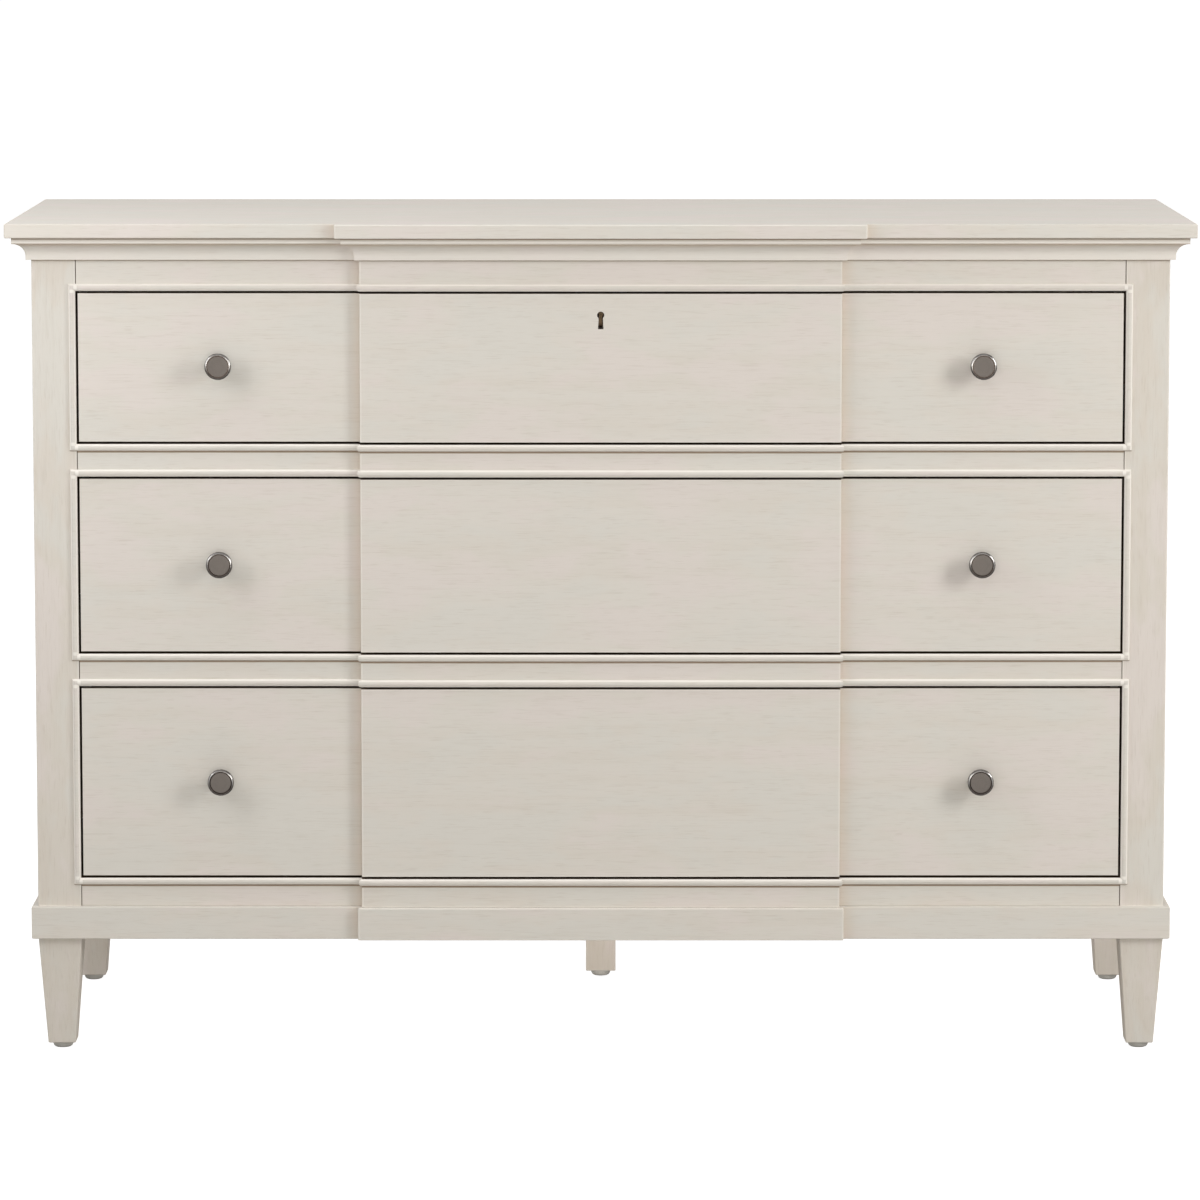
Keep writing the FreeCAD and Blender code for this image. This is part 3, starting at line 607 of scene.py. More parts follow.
def board_shift(name):
    """A shift of the grain that differs from board to board and is the same each run."""
    number = sum((i + 1) * ord(letter) for i, letter in enumerate(name))
    return (number % 17 * 1.7, number % 23 * 0.37, number % 29 * 0.53)


def along_grain(tree, place, name, grain):
    """Object coordinates turned so that X runs with the grain, from a part of the tree of its own."""
    inputs = {"Vector": place, "Location": board_shift(name), "Rotation": GRAIN_TURNS[grain]}
    return add(tree, "ShaderNodeMapping", inputs).outputs[0]


def surface(tree, shader, tone, rough, height, strength, depth, metallic=0):
    """Gives a shader its colour, roughness and metal, and a bump of a strength and depth."""
    bump = add(tree, "ShaderNodeBump", {"Height": height, "Strength": strength, "Distance": depth}).outputs[0]
    for label, value in (("Base Color", tone), ("Roughness", rough), ("Normal", bump)):
        tree.links.new(value, shader.inputs[label])
    shader.inputs["Metallic"].default_value = metallic


def near_plane(tree, place, axis, at, width):
    """One on a plane square to an axis, fading to nothing at a width from it."""
    off = math_node(tree, "ABSOLUTE", math_node(tree, "SUBTRACT", parts(tree, place)[axis], at))
    return spread(tree, off, width * 0.6, width, 1, 0)


def near_planes(tree, place, planes, width):
    """One on any of several planes, each an axis and a place."""
    mask = near_plane(tree, place, *planes[0], width)
    for plane in planes[1:]:
        mask = math_node(tree, "MAXIMUM", mask, near_plane(tree, place, *plane, width))
    return mask


# Widths of the wear and painted highlight along edges, and of the lines of painted shade and highlight and
# the joint lines that the washed finish shows

EDGE_WEAR_AND_HIGHLIGHT = 0.0022
HIGHLIGHT_LINE = 0.0024
CORNER_SHADE = 0.018
CORNER_HIGHLIGHT = 0.0014
SHADED_EDGE = 0.00025
JOINT_LINE = 0.0006
WASH_PAST_SIDES = 0.0002


def wash_coat(tree, masks, thinness):
    """Wash over grain, in clouds of tone with faint fibre and pores."""
    tones = bpy.context.scene.chest_colours
    return layered(tree, tones.wash, [
        (spread(tree, masks["Figure"], 0.40, 0.68, thinness, thinness + 0.30), tones.wash_warm),
        (spread(tree, masks["Clouds"], 0.50, 0.62, 0, 0.8), tones.wash_rose),
        (spread(tree, masks["Clouds"], 0.38, 0.50, 0.8, 0), tones.wash_cool),
        (spread(tree, masks["Fibre"], 0.48, 0.76, 0, 0.11), tones.wash_grain),
        (times(tree, masks["Pores"], 0.14), tones.wash_grain),
    ])


def step_shade_and_highlight(tree, place, corner, front):
    """Shade and highlight painted in a breakfront's corners and on their arrises, from their place and the
    front face.
    """
    tones = bpy.context.scene.chest_colours
    inputs = {"Vector": place, "Corner": corner, "Front": front + step, "Width": CORNER_SHADE}
    glaze = times(tree, use_group(tree, "Corner glaze", inputs)["Glaze"], 0.16)
    at = corner - CORNER_HIGHLIGHT / 2
    arris = near_planes(tree, place, [("X", at), ("X", -at)], CORNER_HIGHLIGHT)
    ahead = spread(tree, parts(tree, place)["Y"], front + 0.0010, front + 0.0018, 0.4, 0)
    return [(glaze, tones.glaze), (times(tree, arris, ahead), tones.rubbed)]


def cove_light_and_shade(tree, place, foot, head):
    """Light painted on a cove's foot, and shade painted in its head under the lip."""
    tones = bpy.context.scene.chest_colours
    z = parts(tree, place)["Z"]
    pale = spread(tree, z, foot, head - 0.003, 0.45, 0)
    deep = spread(tree, z, (foot + 2 * head) / 3, head, 0, 0.36)
    under_lip = math_node(tree, "LESS_THAN", z, head + 0.0003)
    return [(pale, tones.rubbed), (times(tree, deep, under_lip), tones.glaze)]


def bare_layer(tree, place, masks, behind):
    """Wood without its wash behind a place along Y."""
    tones = bpy.context.scene.chest_colours
    figure = spread(tree, masks["Figure"], 0.32, 0.72, 0.45, 1)
    wood = blend(tree, figure, tones.drawer_wood, tones.drawer_wood_dark)
    return math_node(tree, "GREATER_THAN", parts(tree, place)["Y"], behind), wood


def washed_wood(
        name, grain, box, corner=None, shaded_gaps=(), joints=(), quirks=(), rubs=(), unwashed=(), hollow=None,
        bare=None):
    """Cream washed wood, paler on its arrises as wear and painted highlight, with a thinner wash on upright
    pieces.

    The corner is the place of a breakfront's corners, with shade painted beside them and a highlight painted
    on their arrises. Quirks are planes that hold a painted line of shade, each with its width and strength,
    and highlight planes are painted pale as highlights. Joints are planes that stay dark, the dark edges and
    the shaded openings are planes painted near black as shade, hollow is the height of a cove's foot and
    head, between which light and shade are painted, and behind bare, a place along Y, the wood has no wash.
    """
    tones = bpy.context.scene.chest_colours
    material, tree, shader, place = finish("washed_" + name)
    masks = use_group(tree, "Straight grain", {"Vector": along_grain(tree, place, name, grain)})
    inputs = {"Vector": place, "Low": box[0], "High": box[1], "Width": EDGE_WEAR_AND_HIGHLIGHT}
    edges = use_group(tree, "Rubbed edge", inputs)
    # Paler along the arrises, partly as wear and partly as a painted highlight
    layers = [(times(tree, edges["Edge"], 0.7), tones.rubbed)]
    if bare is not None:
        layers.append(bare_layer(tree, place, masks, bare))
    # Shade painted beside a breakfront's steps, and a highlight painted on their arrises
    if corner is not None:
        layers += step_shade_and_highlight(tree, place, corner, box[0].y)
    # Light painted on a cove's foot and shade painted in its head
    if hollow:
        layers += cove_light_and_shade(tree, place, *hollow)
    # Highlights painted pale along planes
    if rubs:
        layers.append((near_planes(tree, place, rubs, HIGHLIGHT_LINE), tones.rubbed))
    # Lines of shade painted along planes
    for axis, at, width, strength in quirks:
        layers.append((times(tree, near_plane(tree, place, axis, at, width), strength), tones.quirk_shade))
    if joints:
        layers.append((times(tree, near_planes(tree, place, joints, JOINT_LINE), 0.8), tones.unwashed))
    rough = spread(tree, masks["Fibre"], 0.2, 0.8, 0.60, 0.74)
    # The dark edges and the shaded openings are painted near black and dull, as shade
    for planes, tone in ((unwashed, tones.unwashed), (shaded_gaps, tones.gap)):
        if planes:
            gap_shade = near_planes(tree, place, planes, SHADED_EDGE)
            layers.append((gap_shade, tone))
            rough = math_node(tree, "MAXIMUM", rough, gap_shade)
    coat = wash_coat(tree, masks, 0.5 if grain == "Z" else 0)
    height = math_node(tree, "SUBTRACT", times(tree, masks["Fibre"], 0.35), masks["Pores"])
    surface(tree, shader, layered(tree, coat, layers), rough, height, 0.25, 0.0002)
    shader.inputs["Specular IOR Level"].default_value = 0.3
    return material


def plain_wood(name, grain, light, dark, dullness, coarseness=1.0):
    """Unpainted wood with a clear finish, from a light and a dark tone."""
    material, tree, shader, place = finish("wood_" + name)
    turned_place = along_grain(tree, place, name, grain)
    masks = use_group(tree, "Straight grain", {"Vector": turned_place, "Coarseness": coarseness})
    wood = layered(tree, light, [
        (spread(tree, masks["Figure"], 0.32, 0.72), dark),
        (spread(tree, masks["Fibre"], 0.4, 0.8, 0, 0.4), [c / 2 for c in dark]),
        (times(tree, masks["Pores"], 0.5), [c / 3 for c in dark]),
    ])
    rough = spread(tree, masks["Fibre"], 0.2, 0.8, dullness, dullness + 0.15)
    height = math_node(tree, "SUBTRACT", masks["Fibre"], masks["Pores"])
    surface(tree, shader, wood, rough, height, 0.25, 0.0002)
    return material


def drawer_wood(name, grain):
    tones = bpy.context.scene.chest_colours
    return plain_wood(name, grain, tones.drawer_wood, tones.drawer_wood_dark, 0.34)


def plain_board(name, grain):
    tones = bpy.context.scene.chest_colours
    return plain_wood(name, grain, tones.board, tones.board_dark, 0.55, 0.8)


def zinc_steel(name, tone=None, shaded_ends=()):
    """Bright zinc plate with a faint crystal pattern, rolling marks along Y and ends painted near black as
    shade.
    """
    tone = tone or bpy.context.scene.chest_colours.zinc
    material, tree, shader, place = finish("zinc_" + name)
    cells = add(tree, "ShaderNodeTexVoronoi", {"Vector": place, "Scale": 160.0}).outputs["Color"]
    flakes = add(tree, "ShaderNodeSeparateColor", {0: cells}).outputs[0]
    marks = noise(tree, place, (900, 12, 900), 2.0)
    plate = blend(tree, spread(tree, flakes, 0, 1, 0, 0.25), tone, [c * 0.7 for c in tone])
    # The ends along Y are painted near black as shade, where they show between drawer and case
    if shaded_ends:
        plate = blend(tree, near_planes(tree, place, shaded_ends, 0.0012), plate, [c * 0.03 for c in tone])
    surface(tree, shader, plate, spread(tree, marks, 0.3, 0.7, 0.28, 0.46), marks, 0.1, 0.0001, metallic=1)
    return material


def aged_brass(name):
    """Darkened brass, brighter where it is worn."""
    tones = bpy.context.scene.chest_colours
    material, tree, shader, place = finish("brass_" + name)
    tarnish = noise(tree, place, (420, 420, 420), 4.0, 0.6)
    tone = blend(tree, spread(tree, tarnish, 0.42, 0.66), tones.brass, [c * 2.2 for c in tones.brass])
    rough = spread(tree, tarnish, 0.3, 0.7, 0.55, 0.35)
    surface(tree, shader, tone, rough, tarnish, 0.15, 0.0001, metallic=1)
    return material


def glide_plastic(name):
    """Pale moulded plastic with a fine spark texture and a little floor dirt near the ground."""
    tones = bpy.context.scene.chest_colours
    material, tree, shader, place = finish("plastic_" + name)
    grit = noise(tree, place, (1400, 1400, 1400), 2.0)
    near_floor = spread(tree, parts(tree, place)["Z"], 0, 0.004, 0.5, 0)
    dirt = times(tree, near_floor, spread(tree, grit, 0.35, 0.65))
    tone = blend(tree, dirt, tones.glide, [c * 0.45 for c in tones.glide])
    surface(tree, shader, tone, spread(tree, grit, 0.3, 0.7, 0.42, 0.6), grit, 0.2, 0.0001)
    return material


def pewter(name, centre, front, face_radius, rim_radius):
    """Brushed pewter: a dull turned face in a polished rim, tarnished dark in the groove.

    The rim is bright at both shoulders, with a dark reflection painted on its crown, its lower part and its
    side behind the crest.
    """
    tones = bpy.context.scene.chest_colours
    material, tree, shader, place = finish("pewter_" + name)
    local = add(tree, "ShaderNodeMapping", {"Vector": place, "Location": [-c for c in centre]}).outputs[0]
    x, y, z = parts(tree, local)
    flat = add(tree, "ShaderNodeCombineXYZ", {0: x, 2: z}).outputs[0]
    radius = add(tree, "ShaderNodeVectorMath", {0: flat}, operation="LENGTH").outputs["Value"]
    ring = add(tree, "ShaderNodeCombineXYZ", {0: radius, 1: times(tree, y, 0.5)}).outputs[0]
    marks = noise(tree, ring, (2600, 2600, 1), 3.0, 0.6)
    tarnish = noise(tree, local, (900, 900, 900), 3.0, 0.6)
    inside = spread(tree, radius, face_radius - 0.0005, face_radius - 0.0003, 1, 0)
    ahead = spread(tree, y, front + 0.002, front + 0.003, 1, 0)
    face = times(tree, inside, ahead)
    in_rim = spread(tree, radius, rim_radius + 0.0002, rim_radius + 0.0005, 1, 0)
    groove = times(tree, math_node(tree, "SUBTRACT", in_rim, inside), ahead)
    # A dark reflection painted on the rim's side behind its crest
    behind = spread(tree, y, front + 0.0003, front + 0.0009, 0, 0.85)
    turned_tone = spread(tree, marks, 0.3, 0.7, 0, 0.35)
    # A dark reflection painted on the rim's lower part and its crown, leaving its shoulders bright
    below = spread(tree, z, -0.5 * rim_radius, 0.3 * rim_radius, 0.85, 0)
    above = spread(tree, z, 0.75 * rim_radius, 0.95 * rim_radius, 0, 0.6)
    painted_dark_reflection = math_node(tree, "SUBTRACT", math_node(tree, "MAXIMUM", below, above), face, clamp=True)
    metal = layered(tree, tones.pewter_rim, [
        (face, blend(tree, turned_tone, tones.pewter, [c * 0.72 for c in tones.pewter])),
        (spread(tree, tarnish, 0.45, 0.75, 0, 0.30), tones.patina_and_dark_reflection),
        (painted_dark_reflection, tones.patina_and_dark_reflection),
        (math_node(tree, "MAXIMUM", groove, behind), tones.patina_and_dark_reflection),
    ])
    rough = math_node(tree, "MULTIPLY_ADD", face, 0.32, spread(tree, marks, 0.3, 0.7, 0.10, 0.18))
    surface(tree, shader, metal, rough, marks, 0.15, 0.0001, metallic=1)
    return material


def dress(node, material):
    """Gives a piece or a CAD node its material."""
    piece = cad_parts[node] if isinstance(node, str) else node
    piece.data.materials.clear()
    piece.data.materials.append(material)


# The pieces

def wash_over(piece, node, grain, **marks):
    """Finishes a piece of the case in washed wood and lets it stand for its CAD node."""
    dress(piece, washed_wood(piece.name, grain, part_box(node), **marks))
    stands_for(piece, "case", "washed_wood", node)


def breakfront_blank(name, node):
    """A squared blank of a node's size whose middle stands forward, left in edit mode."""
    low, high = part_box(node)
    middle = front_half(node)
    blank = block(name, low + BACKWARD * step, high)
    edit(blank)
    for x in (middle, -middle):
        cut(RIGHTWARD * x, RIGHTWARD)
    pick_faces(blank, lambda at, normal: normal.y < -0.5 and abs(at.x) < middle)
    extrude(FRONTWARD * step)
    return blank


def add_top(sizes):
    """The top: a slab with its middle standing forward, all arrises rounded."""
    slab = breakfront_blank("top_slab", "top_panel")
    close_mesh()
    eased(slab, sizes.top_arris)
    wash_over(slab, "top_panel", "X", corner=front_half("top_panel"))


def breakfront_path(half, y, z):
    """The front line of the case from left to right, with its two steps, and the outward ways of its runs."""
    right = [Vector((centre_half, y - step, z)), Vector((centre_half, y, z)), Vector((half, y, z))]
    left = [Vector((-p.x, p.y, p.z)) for p in reversed(right)]
    outward = [FRONTWARD, LEFTWARD, FRONTWARD, RIGHTWARD, FRONTWARD]
    return left + right, outward


def add_coves(sizes):
    """The cove moulding under the top: five mitred front lengths and two returns."""
    low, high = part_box("cove_moulding_front")
    reach = high.x - case_half
    radius = reach - sizes.foot_projection
    arc_z = sizes.foot_height
    hollow = arc((reach, arc_z), radius, 180, 90, 10)
    section = [(0, 0), (sizes.foot_projection, 0), *hollow, (reach, high.z - low.z), (0, high.z - low.z)]
    path, outward = breakfront_path(case_half, face_y, low.z)
    path = [Vector((-case_half, back_y, low.z)), *path, Vector((case_half, back_y, low.z))]
    outward = [LEFTWARD, *outward, RIGHTWARD]
    runs = mitred_runs("cove", section, path, outward, sizes.moulding_arris)
    foot = low.z + arc_z
    head = foot + radius
    # Shade painted in lines under the lip and under the top, and light painted along the lip
    quirks = [("Z", head, 0.0014, 0.25), ("Z", high.z, 0.0050, 0.22), ("Z", high.z, 0.0024, 0.75)]
    rubs = [("Z", (head + high.z) / 2)]
    members = {"left": runs[:1], "front": runs[1:-1], "right": runs[-1:]}
    for side, lengths in members.items():
        cove = joined("cove_" + side, lengths)
        grain = "X" if side == "front" else "Y"
        wash_over(cove, "cove_moulding_" + side, grain, quirks=quirks, rubs=rubs, hollow=(foot, head))


def add_beads(sizes):
    """The mitred beads round the three drawer openings."""
    for drawer in DRAWERS:
        node = drawer + "_bead_frame"
        low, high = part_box(node)
        width = high.x - opening_half
        rise = centre_face_y - low.y
        radius = (width * width / 4 + rise * rise) / (2 * rise)
        sweep = math.degrees(math.asin(min(width / 2 / radius, 1)))
        section = arc((rise - radius, width / 2), radius, -sweep, sweep, 12)
        top_path, outward = breakfront_path(opening_half, face_y, high.z - width)
        low_path = breakfront_path(opening_half, face_y, low.z + width)[0]
        loop = top_path + list(reversed(low_path))
        ways = [*outward, FRONTWARD, *reversed(outward), FRONTWARD]
        name = "beads_" + drawer
        bead = joined(name, mitred_runs(name, section, loop, ways, sizes.bead_arris, closed=True))
        # Highlights painted along the beads' edges, and shade painted along their outer edges and under them
        rubs = [("X", sign * at) for sign in (-1, 1) for at in (opening_half, high.x)]
        rubs += [("Z", at) for at in (low.z, low.z + width, high.z - width, high.z)]
        quirks = [("X", low.x, 0.0007, 0.35), ("X", high.x, 0.0007, 0.35), ("Z", low.z, 0.0013, 0.8)]
        wash_over(bead, node, "X", quirks=quirks, rubs=rubs)


def add_case():
    """The posts, rails and side panels, whose construction shows as it is."""
    # Shade painted in lines under the cove and under the beads
    under_cove = ("Z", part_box("cove_moulding_front")[0].z, 0.0016, 0.75)
    under_beads = [("Z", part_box(drawer + "_bead_frame")[0].z, 0.0021, 0.85) for drawer in DRAWERS]
    joints = [("X", -opening_half), ("X", opening_half)]
    for kind in ("front_post", "rear_post", "side_panel"):
        # The front posts' faces inside the openings are painted near black as shade
        shaded_gaps = joints if kind == "front_post" else ()
        for side in ("left", "right"):
            node = f"{kind}_{side}"
            dress(node, washed_wood(node, "Z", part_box(node), shaded_gaps=shaded_gaps, quirks=[under_cove]))
    for node in ("top_rail", "upper_divider_rail", "lower_divider_rail", "bottom_rail"):
        low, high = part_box(node)
        # The rails' upper and lower faces, inside the openings, are painted near black as shade
        shaded_gaps = [("Z", low.z), ("Z", high.z)]
        near = [quirk_shade for quirk_shade in (under_cove, *under_beads) if low.z < quirk_shade[1] < high.z]
        marks = {"corner": centre_half, "shaded_gaps": shaded_gaps, "joints": joints, "quirks": near}
        dress(node, washed_wood(node, "X", (low, high), **marks))


def add_base(sizes):
    """The base mouldings: the front with its step forward, and two mitred returns."""
    node = "base_moulding_front"
    low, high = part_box(node)
    corner_y = low.y + step
    front = breakfront_blank("base_front", node)
    for sign in (1, -1):
        cut((sign * high.x, corner_y, low.z), (sign, 1, 0), "before")
    close_mesh()
    eased(front, sizes.base_arris)
    wash_over(front, node, "X", corner=front_half(node))
    for side, sign in SIDES:
        node = "base_moulding_" + side
        run = block("base_" + side, *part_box(node))
        edit(run)
        cut((sign * high.x, corner_y, low.z), (sign, 1, 0), "behind")
        close_mesh()
        eased(run, sizes.base_arris)
        wash_over(run, node, "Y")


def add_legs(sizes):
    """The tapered legs and the straight foot under the middle of the back."""
    first_low, first_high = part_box(LEGS[0])
    first = block("leg_model", first_low, first_high)
    edit(first)
    pick_faces(first, lambda at, normal: normal.z < -0.5)
    taper = sizes.leg_foot / (first_high.x - first_low.x)
    bpy.ops.transform.resize(value=(taper, taper, 1), center_override=(first_low + first_high) / 2)
    done()
    eased(first, sizes.leg_arris)
    for node in LEGS:
        leg = moved_copy(first, "tapered_" + node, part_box(node)[0] - first_low)
        wash_over(leg, node, "Z")
    discard(first)
    foot = eased(block("straight_centre_foot", *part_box("centre_foot")), sizes.leg_arris)
    wash_over(foot, "centre_foot", "Z")


def add_glides(sizes):
    """The domed plastic glides under the legs and the centre foot."""
    foot = middle_of("centre_foot")
    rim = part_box("glides")[1].y - foot.y
    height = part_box(LEGS[0])[0].z
    flat = sizes.glide_flat / 2
    shoulder = height - sizes.glide_rim
    angles = [math.radians(a) for a in range(0, 91, 15)]
    dome = [(flat + (rim - flat) * math.sin(a), shoulder * (1 - math.cos(a))) for a in angles]
    profile = [(0, 0), *dome, (rim, height), (0, height)]
    model = eased(turned("glide_model", profile, UP, steps=40), sizes.glide_arris, 2)
    places = [Vector((middle_of(leg).x, middle_of(leg).y, 0)) for leg in LEGS]
    places.append(Vector((0, foot.y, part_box("centre_foot")[0].z - height)))
    glides = copies_joined(model, "domed_glides", places)
    dress(glides, glide_plastic(glides.name))
    stands_for(glides, "case", "glide_plastic", "glides")


def add_fronts():
    """The drawer fronts, each one board with its middle standing forward."""
    for drawer in DRAWERS:
        node = drawer + "_drawer_front"
        low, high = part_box(node)
        # The front's four edges are painted near black, as the shade round the drawer
        edges = [("X", low.x), ("X", high.x), ("Z", low.z), ("Z", high.z)]
        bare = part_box(drawer + "_drawer_sides")[0].y + WASH_PAST_SIDES
        dress(node, washed_wood(node, "X", (low, high), corner=centre_half, unwashed=edges, bare=bare))


def add_boxes():
    """The dovetailed drawer boxes."""
    for drawer in DRAWERS:
        for piece, grain in (("sides", "Y"), ("back", "X"), ("bottom", "X")):
            node = f"{drawer}_drawer_{piece}"
            dress(node, drawer_wood(node, grain))


def knob_profile(sizes, radius, projection):
    """Radius and distance from the drawer's face, from the foot round to the middle of the face."""
    neck = sizes.knob_neck / 2
    foot = sizes.knob_foot / 2
    head = projection - sizes.knob_head
    cove = foot - neck
    flare_reach = radius * 0.93 - neck
    flare_foot = sizes.knob_foot_height + cove / 2
    angles = [math.radians(a) for a in range(0, 91, 9)]
    flare_rise = head - flare_foot
    flare = [(neck + flare_reach * (1 - math.cos(a)), flare_foot + flare_rise * math.sin(a)) for a in angles]
    turn = sizes.knob_turn
    rim_in = radius - sizes.knob_rim
    crest = rim_in + sizes.knob_crest
    bevel = radius - crest
    face = projection - sizes.knob_dish
    face_radius = rim_in - sizes.knob_groove
    bottom = face - sizes.knob_groove
    back_edge = arc((radius - turn, head + turn), turn, -90, 0, 4)
    front_edge = arc((crest, projection - bevel), bevel, 0, 90, 9)
    inner_edge = arc((crest, projection - sizes.knob_crest), sizes.knob_crest, 90, 180, 4)[1:]
    groove = [(rim_in, bottom), (face_radius, bottom)]
    chamfer = 0.0003
    face_line = [(face_radius, face - chamfer / 3), (face_radius - chamfer, face), (0, face)]
    low_turn = 0.0005
    foot_edge = arc((foot - low_turn, low_turn), low_turn, -90, 0, 3)
    high_turn = 0.0008
    foot_top = arc((foot - high_turn, sizes.knob_foot_height / 2), high_turn, 0, 90, 3)
    return [(0, 0), *foot_edge, *foot_top, *flare, *back_edge, *front_edge, *inner_edge, *groove, *face_line]


# Shapes of the pan-headed screws, as shares of their heads and shanks

HEAD_EDGE = 0.45
SCREW_TIP = 0.8
RECESS_REACH = 0.62
RECESS_DEPTH = 0.6
RECESS_ARM = 0.3


def pan_screw(name, head_width, head_height, shank_width, shank_length):
    """A pan-headed screw with a cross recess, its head standing along +Y from the origin."""
    head = head_width / 2
    shank = shank_width / 2
    angles = [math.radians(a) for a in range(0, 91, 15)]
    crown = [(head * math.cos(a), head_height * (HEAD_EDGE + (1 - HEAD_EDGE) * math.sin(a))) for a in angles]
    tip = -shank_length
    chamfer = 0.0005
    profile = [(0, tip), (shank * SCREW_TIP, tip), (shank, tip + chamfer), (shank, 0), (head, 0), *crown]
    screw = turned(name, profile, BACKWARD, steps=32)
    cross_recess(screw, Vector((0, head_height, 0)), head * RECESS_REACH, head_height * RECESS_DEPTH)
    return smooth(screw)


def small_screw(sizes, kind):
    """The model of a kind of screw whose four sizes are among the sizes."""
    wanted = [getattr(sizes, f"{kind}_screw_{size}") for size in ("head", "height", "shank", "length")]
    return pan_screw(kind + "_screw_model", *wanted)


def cross_recess(screw, place, reach, depth):
    """Cuts a cross into a screw's head, about a place on its crown, along Y."""
    arm = reach * RECESS_ARM
    for size in ((reach, arm), (arm, reach)):
        half = Vector((size[0], depth, size[1]))
        cutter = block("recess", place - half, place + half)
        with_modifier(screw, "BOOLEAN", operation="DIFFERENCE", object=cutter, solver="EXACT")
        discard(cutter)


def add_knobs(sizes):
    """The six turned knobs with their screws."""
    low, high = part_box("upper_drawer_knobs")
    radius = (high.z - low.z) / 2
    projection = face_y - low.y
    rim_in = radius - sizes.knob_rim
    inner_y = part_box("upper_drawer_front")[1].y
    profile = knob_profile(sizes, radius, projection)
    knob_model = smooth(turned("knob_model", profile, FRONTWARD, steps=72))
    screw_model = pan_screw(
        "knob_screw_model", sizes.screw_head, high.y - inner_y, sizes.screw_shank,
        inner_y - face_y + sizes.screw_grip)
    for drawer in DRAWERS:
        node = drawer + "_drawer_knobs"
        low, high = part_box(node)
        for side, sign in SIDES:
            centre = Vector((sign * (high.x - radius), face_y, (low.z + high.z) / 2))
            knob = moved_copy(knob_model, f"knob_{drawer}_{side}", centre)
            dress(knob, pewter(knob.name, centre, -projection, rim_in - sizes.knob_groove, rim_in))
            stands_for(knob, drawer + "_drawer", "pewter", node)
            seat = Vector((centre.x, inner_y, centre.z))
            screw = moved_copy(screw_model, f"knob_screw_{drawer}_{side}", seat)
            dress(screw, zinc_steel(screw.name))
            stands_for(screw, drawer + "_drawer", "zinc_steel", node)
    discard(knob_model)
    discard(screw_model)


def add_lock(sizes):
    """The keyhole liner, the lock and its bolt, and the strike plate."""
    low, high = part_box("keyhole_liner")
    radius = (high.x - low.x) / 2
    key_z = high.z - radius
    waist = sizes.liner_waist / 2
    lower = math.degrees(math.acos(waist / radius))
    head = arc((0, key_z), radius, 270 - (90 - lower), -lower, 24)
    drop = key_z - sizes.liner_waist_drop
    skirt = [(waist, drop), (sizes.liner_foot / 2, low.z), (-sizes.liner_foot / 2, low.z), (-waist, drop)]
    outline = [Vector((x, high.y, z)) for x, z in head + skirt]
    liner = line("turned_keyhole_liner", outline, closed=True)
    pick_all()
    extrude(FRONTWARD * (high.y - low.y))
    close_mesh()
    edit(liner)
    pick_faces(liner, lambda at, normal: abs(normal.y) > 0.9)
    bpy.ops.mesh.delete(type="FACE")
    done()
    with_modifier(liner, "SOLIDIFY", thickness=sizes.liner_wall, offset=-1, use_even_offset=True)
    eased(liner, sizes.liner_arris, 2)
    dress(liner, aged_brass(liner.name))
    stands_for(liner, "upper_drawer", "aged_brass", "keyhole_liner")
    lock_tone = bpy.context.scene.chest_colours.lock_plate
    dress("lock_body", zinc_steel("lock_body", lock_tone))
    dress("lock_bolt", zinc_steel("lock_bolt"))
    dress("lock_strike_plate", zinc_steel("lock_strike_plate", lock_tone))
    add_lock_screws(sizes)


def rolled_channel(sizes, name, outward, depth, height, run):
    """A C-shaped length of rolled steel along Y, with its web at the origin and its flanges outward."""
    gauge = sizes.slide_gauge
    bend = sizes.slide_bend
    half = height / 2
    upper = arc((bend, half - bend), bend, 90, 180, 5)
    lower = [(a, -b) for a, b in reversed(upper)]
    inner_lower = arc((bend, bend - half), bend - gauge, 270, 180, 4)
    inner_upper = [(a, -b) for a, b in reversed(inner_lower)]
    section = [(depth, half), *upper, *lower, (depth, -half), (depth, gauge - half)]
    section += [*inner_lower, *inner_upper, (depth, half - gauge)]
    half_run = BACKWARD * (run / 2)
    return moulding_run(name, section, -half_run, half_run, outward, (BACKWARD, BACKWARD))


def punch_slots(sizes, channel, places):
    """Punches rounded slots through the web of a channel, at places along it."""
    radius = sizes.slide_slot_width / 2
    run = sizes.slide_slot / 2 - radius
    through = Vector((2 * sizes.slide_gauge, 0, 0))
    outline = arc((run, 0), radius, -90, 90, 8) + arc((-run, 0), radius, 90, 270, 8)
    for place in places:
        punch = line("punch", [Vector((0, place + y, z)) - through for y, z in outline], closed=True)
        pick_all()
        extrude(2 * through)
        close_mesh()
        with_modifier(channel, "BOOLEAN", operation="DIFFERENCE", object=punch, solver="EXACT")
        discard(punch)


def slide_model(sizes, name, node, height, outward):
    """A slide member of a node's depth and length, about the origin, with slots between its screw places."""
    low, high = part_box(node)
    channel = rolled_channel(sizes, name, outward, high.x - least_half(node), height, high.y - low.y)
    gap = sizes.slide_screw_gap
    punch_slots(sizes, channel, (-gap / 2, gap / 2))
    return smooth(channel)


def screwed(sizes, member):
    """A drawer's slide member with the screws that hold it."""
    seats = [Vector((sizes.slide_gauge, sizes.slide_screw_gap * i, 0)) for i in (-1, 0, 1)]
    screws = copies_joined(small_screw(sizes, "slide"), "slide_screws", seats, math.radians(-90))
    return joined(member.name, [member, screws])


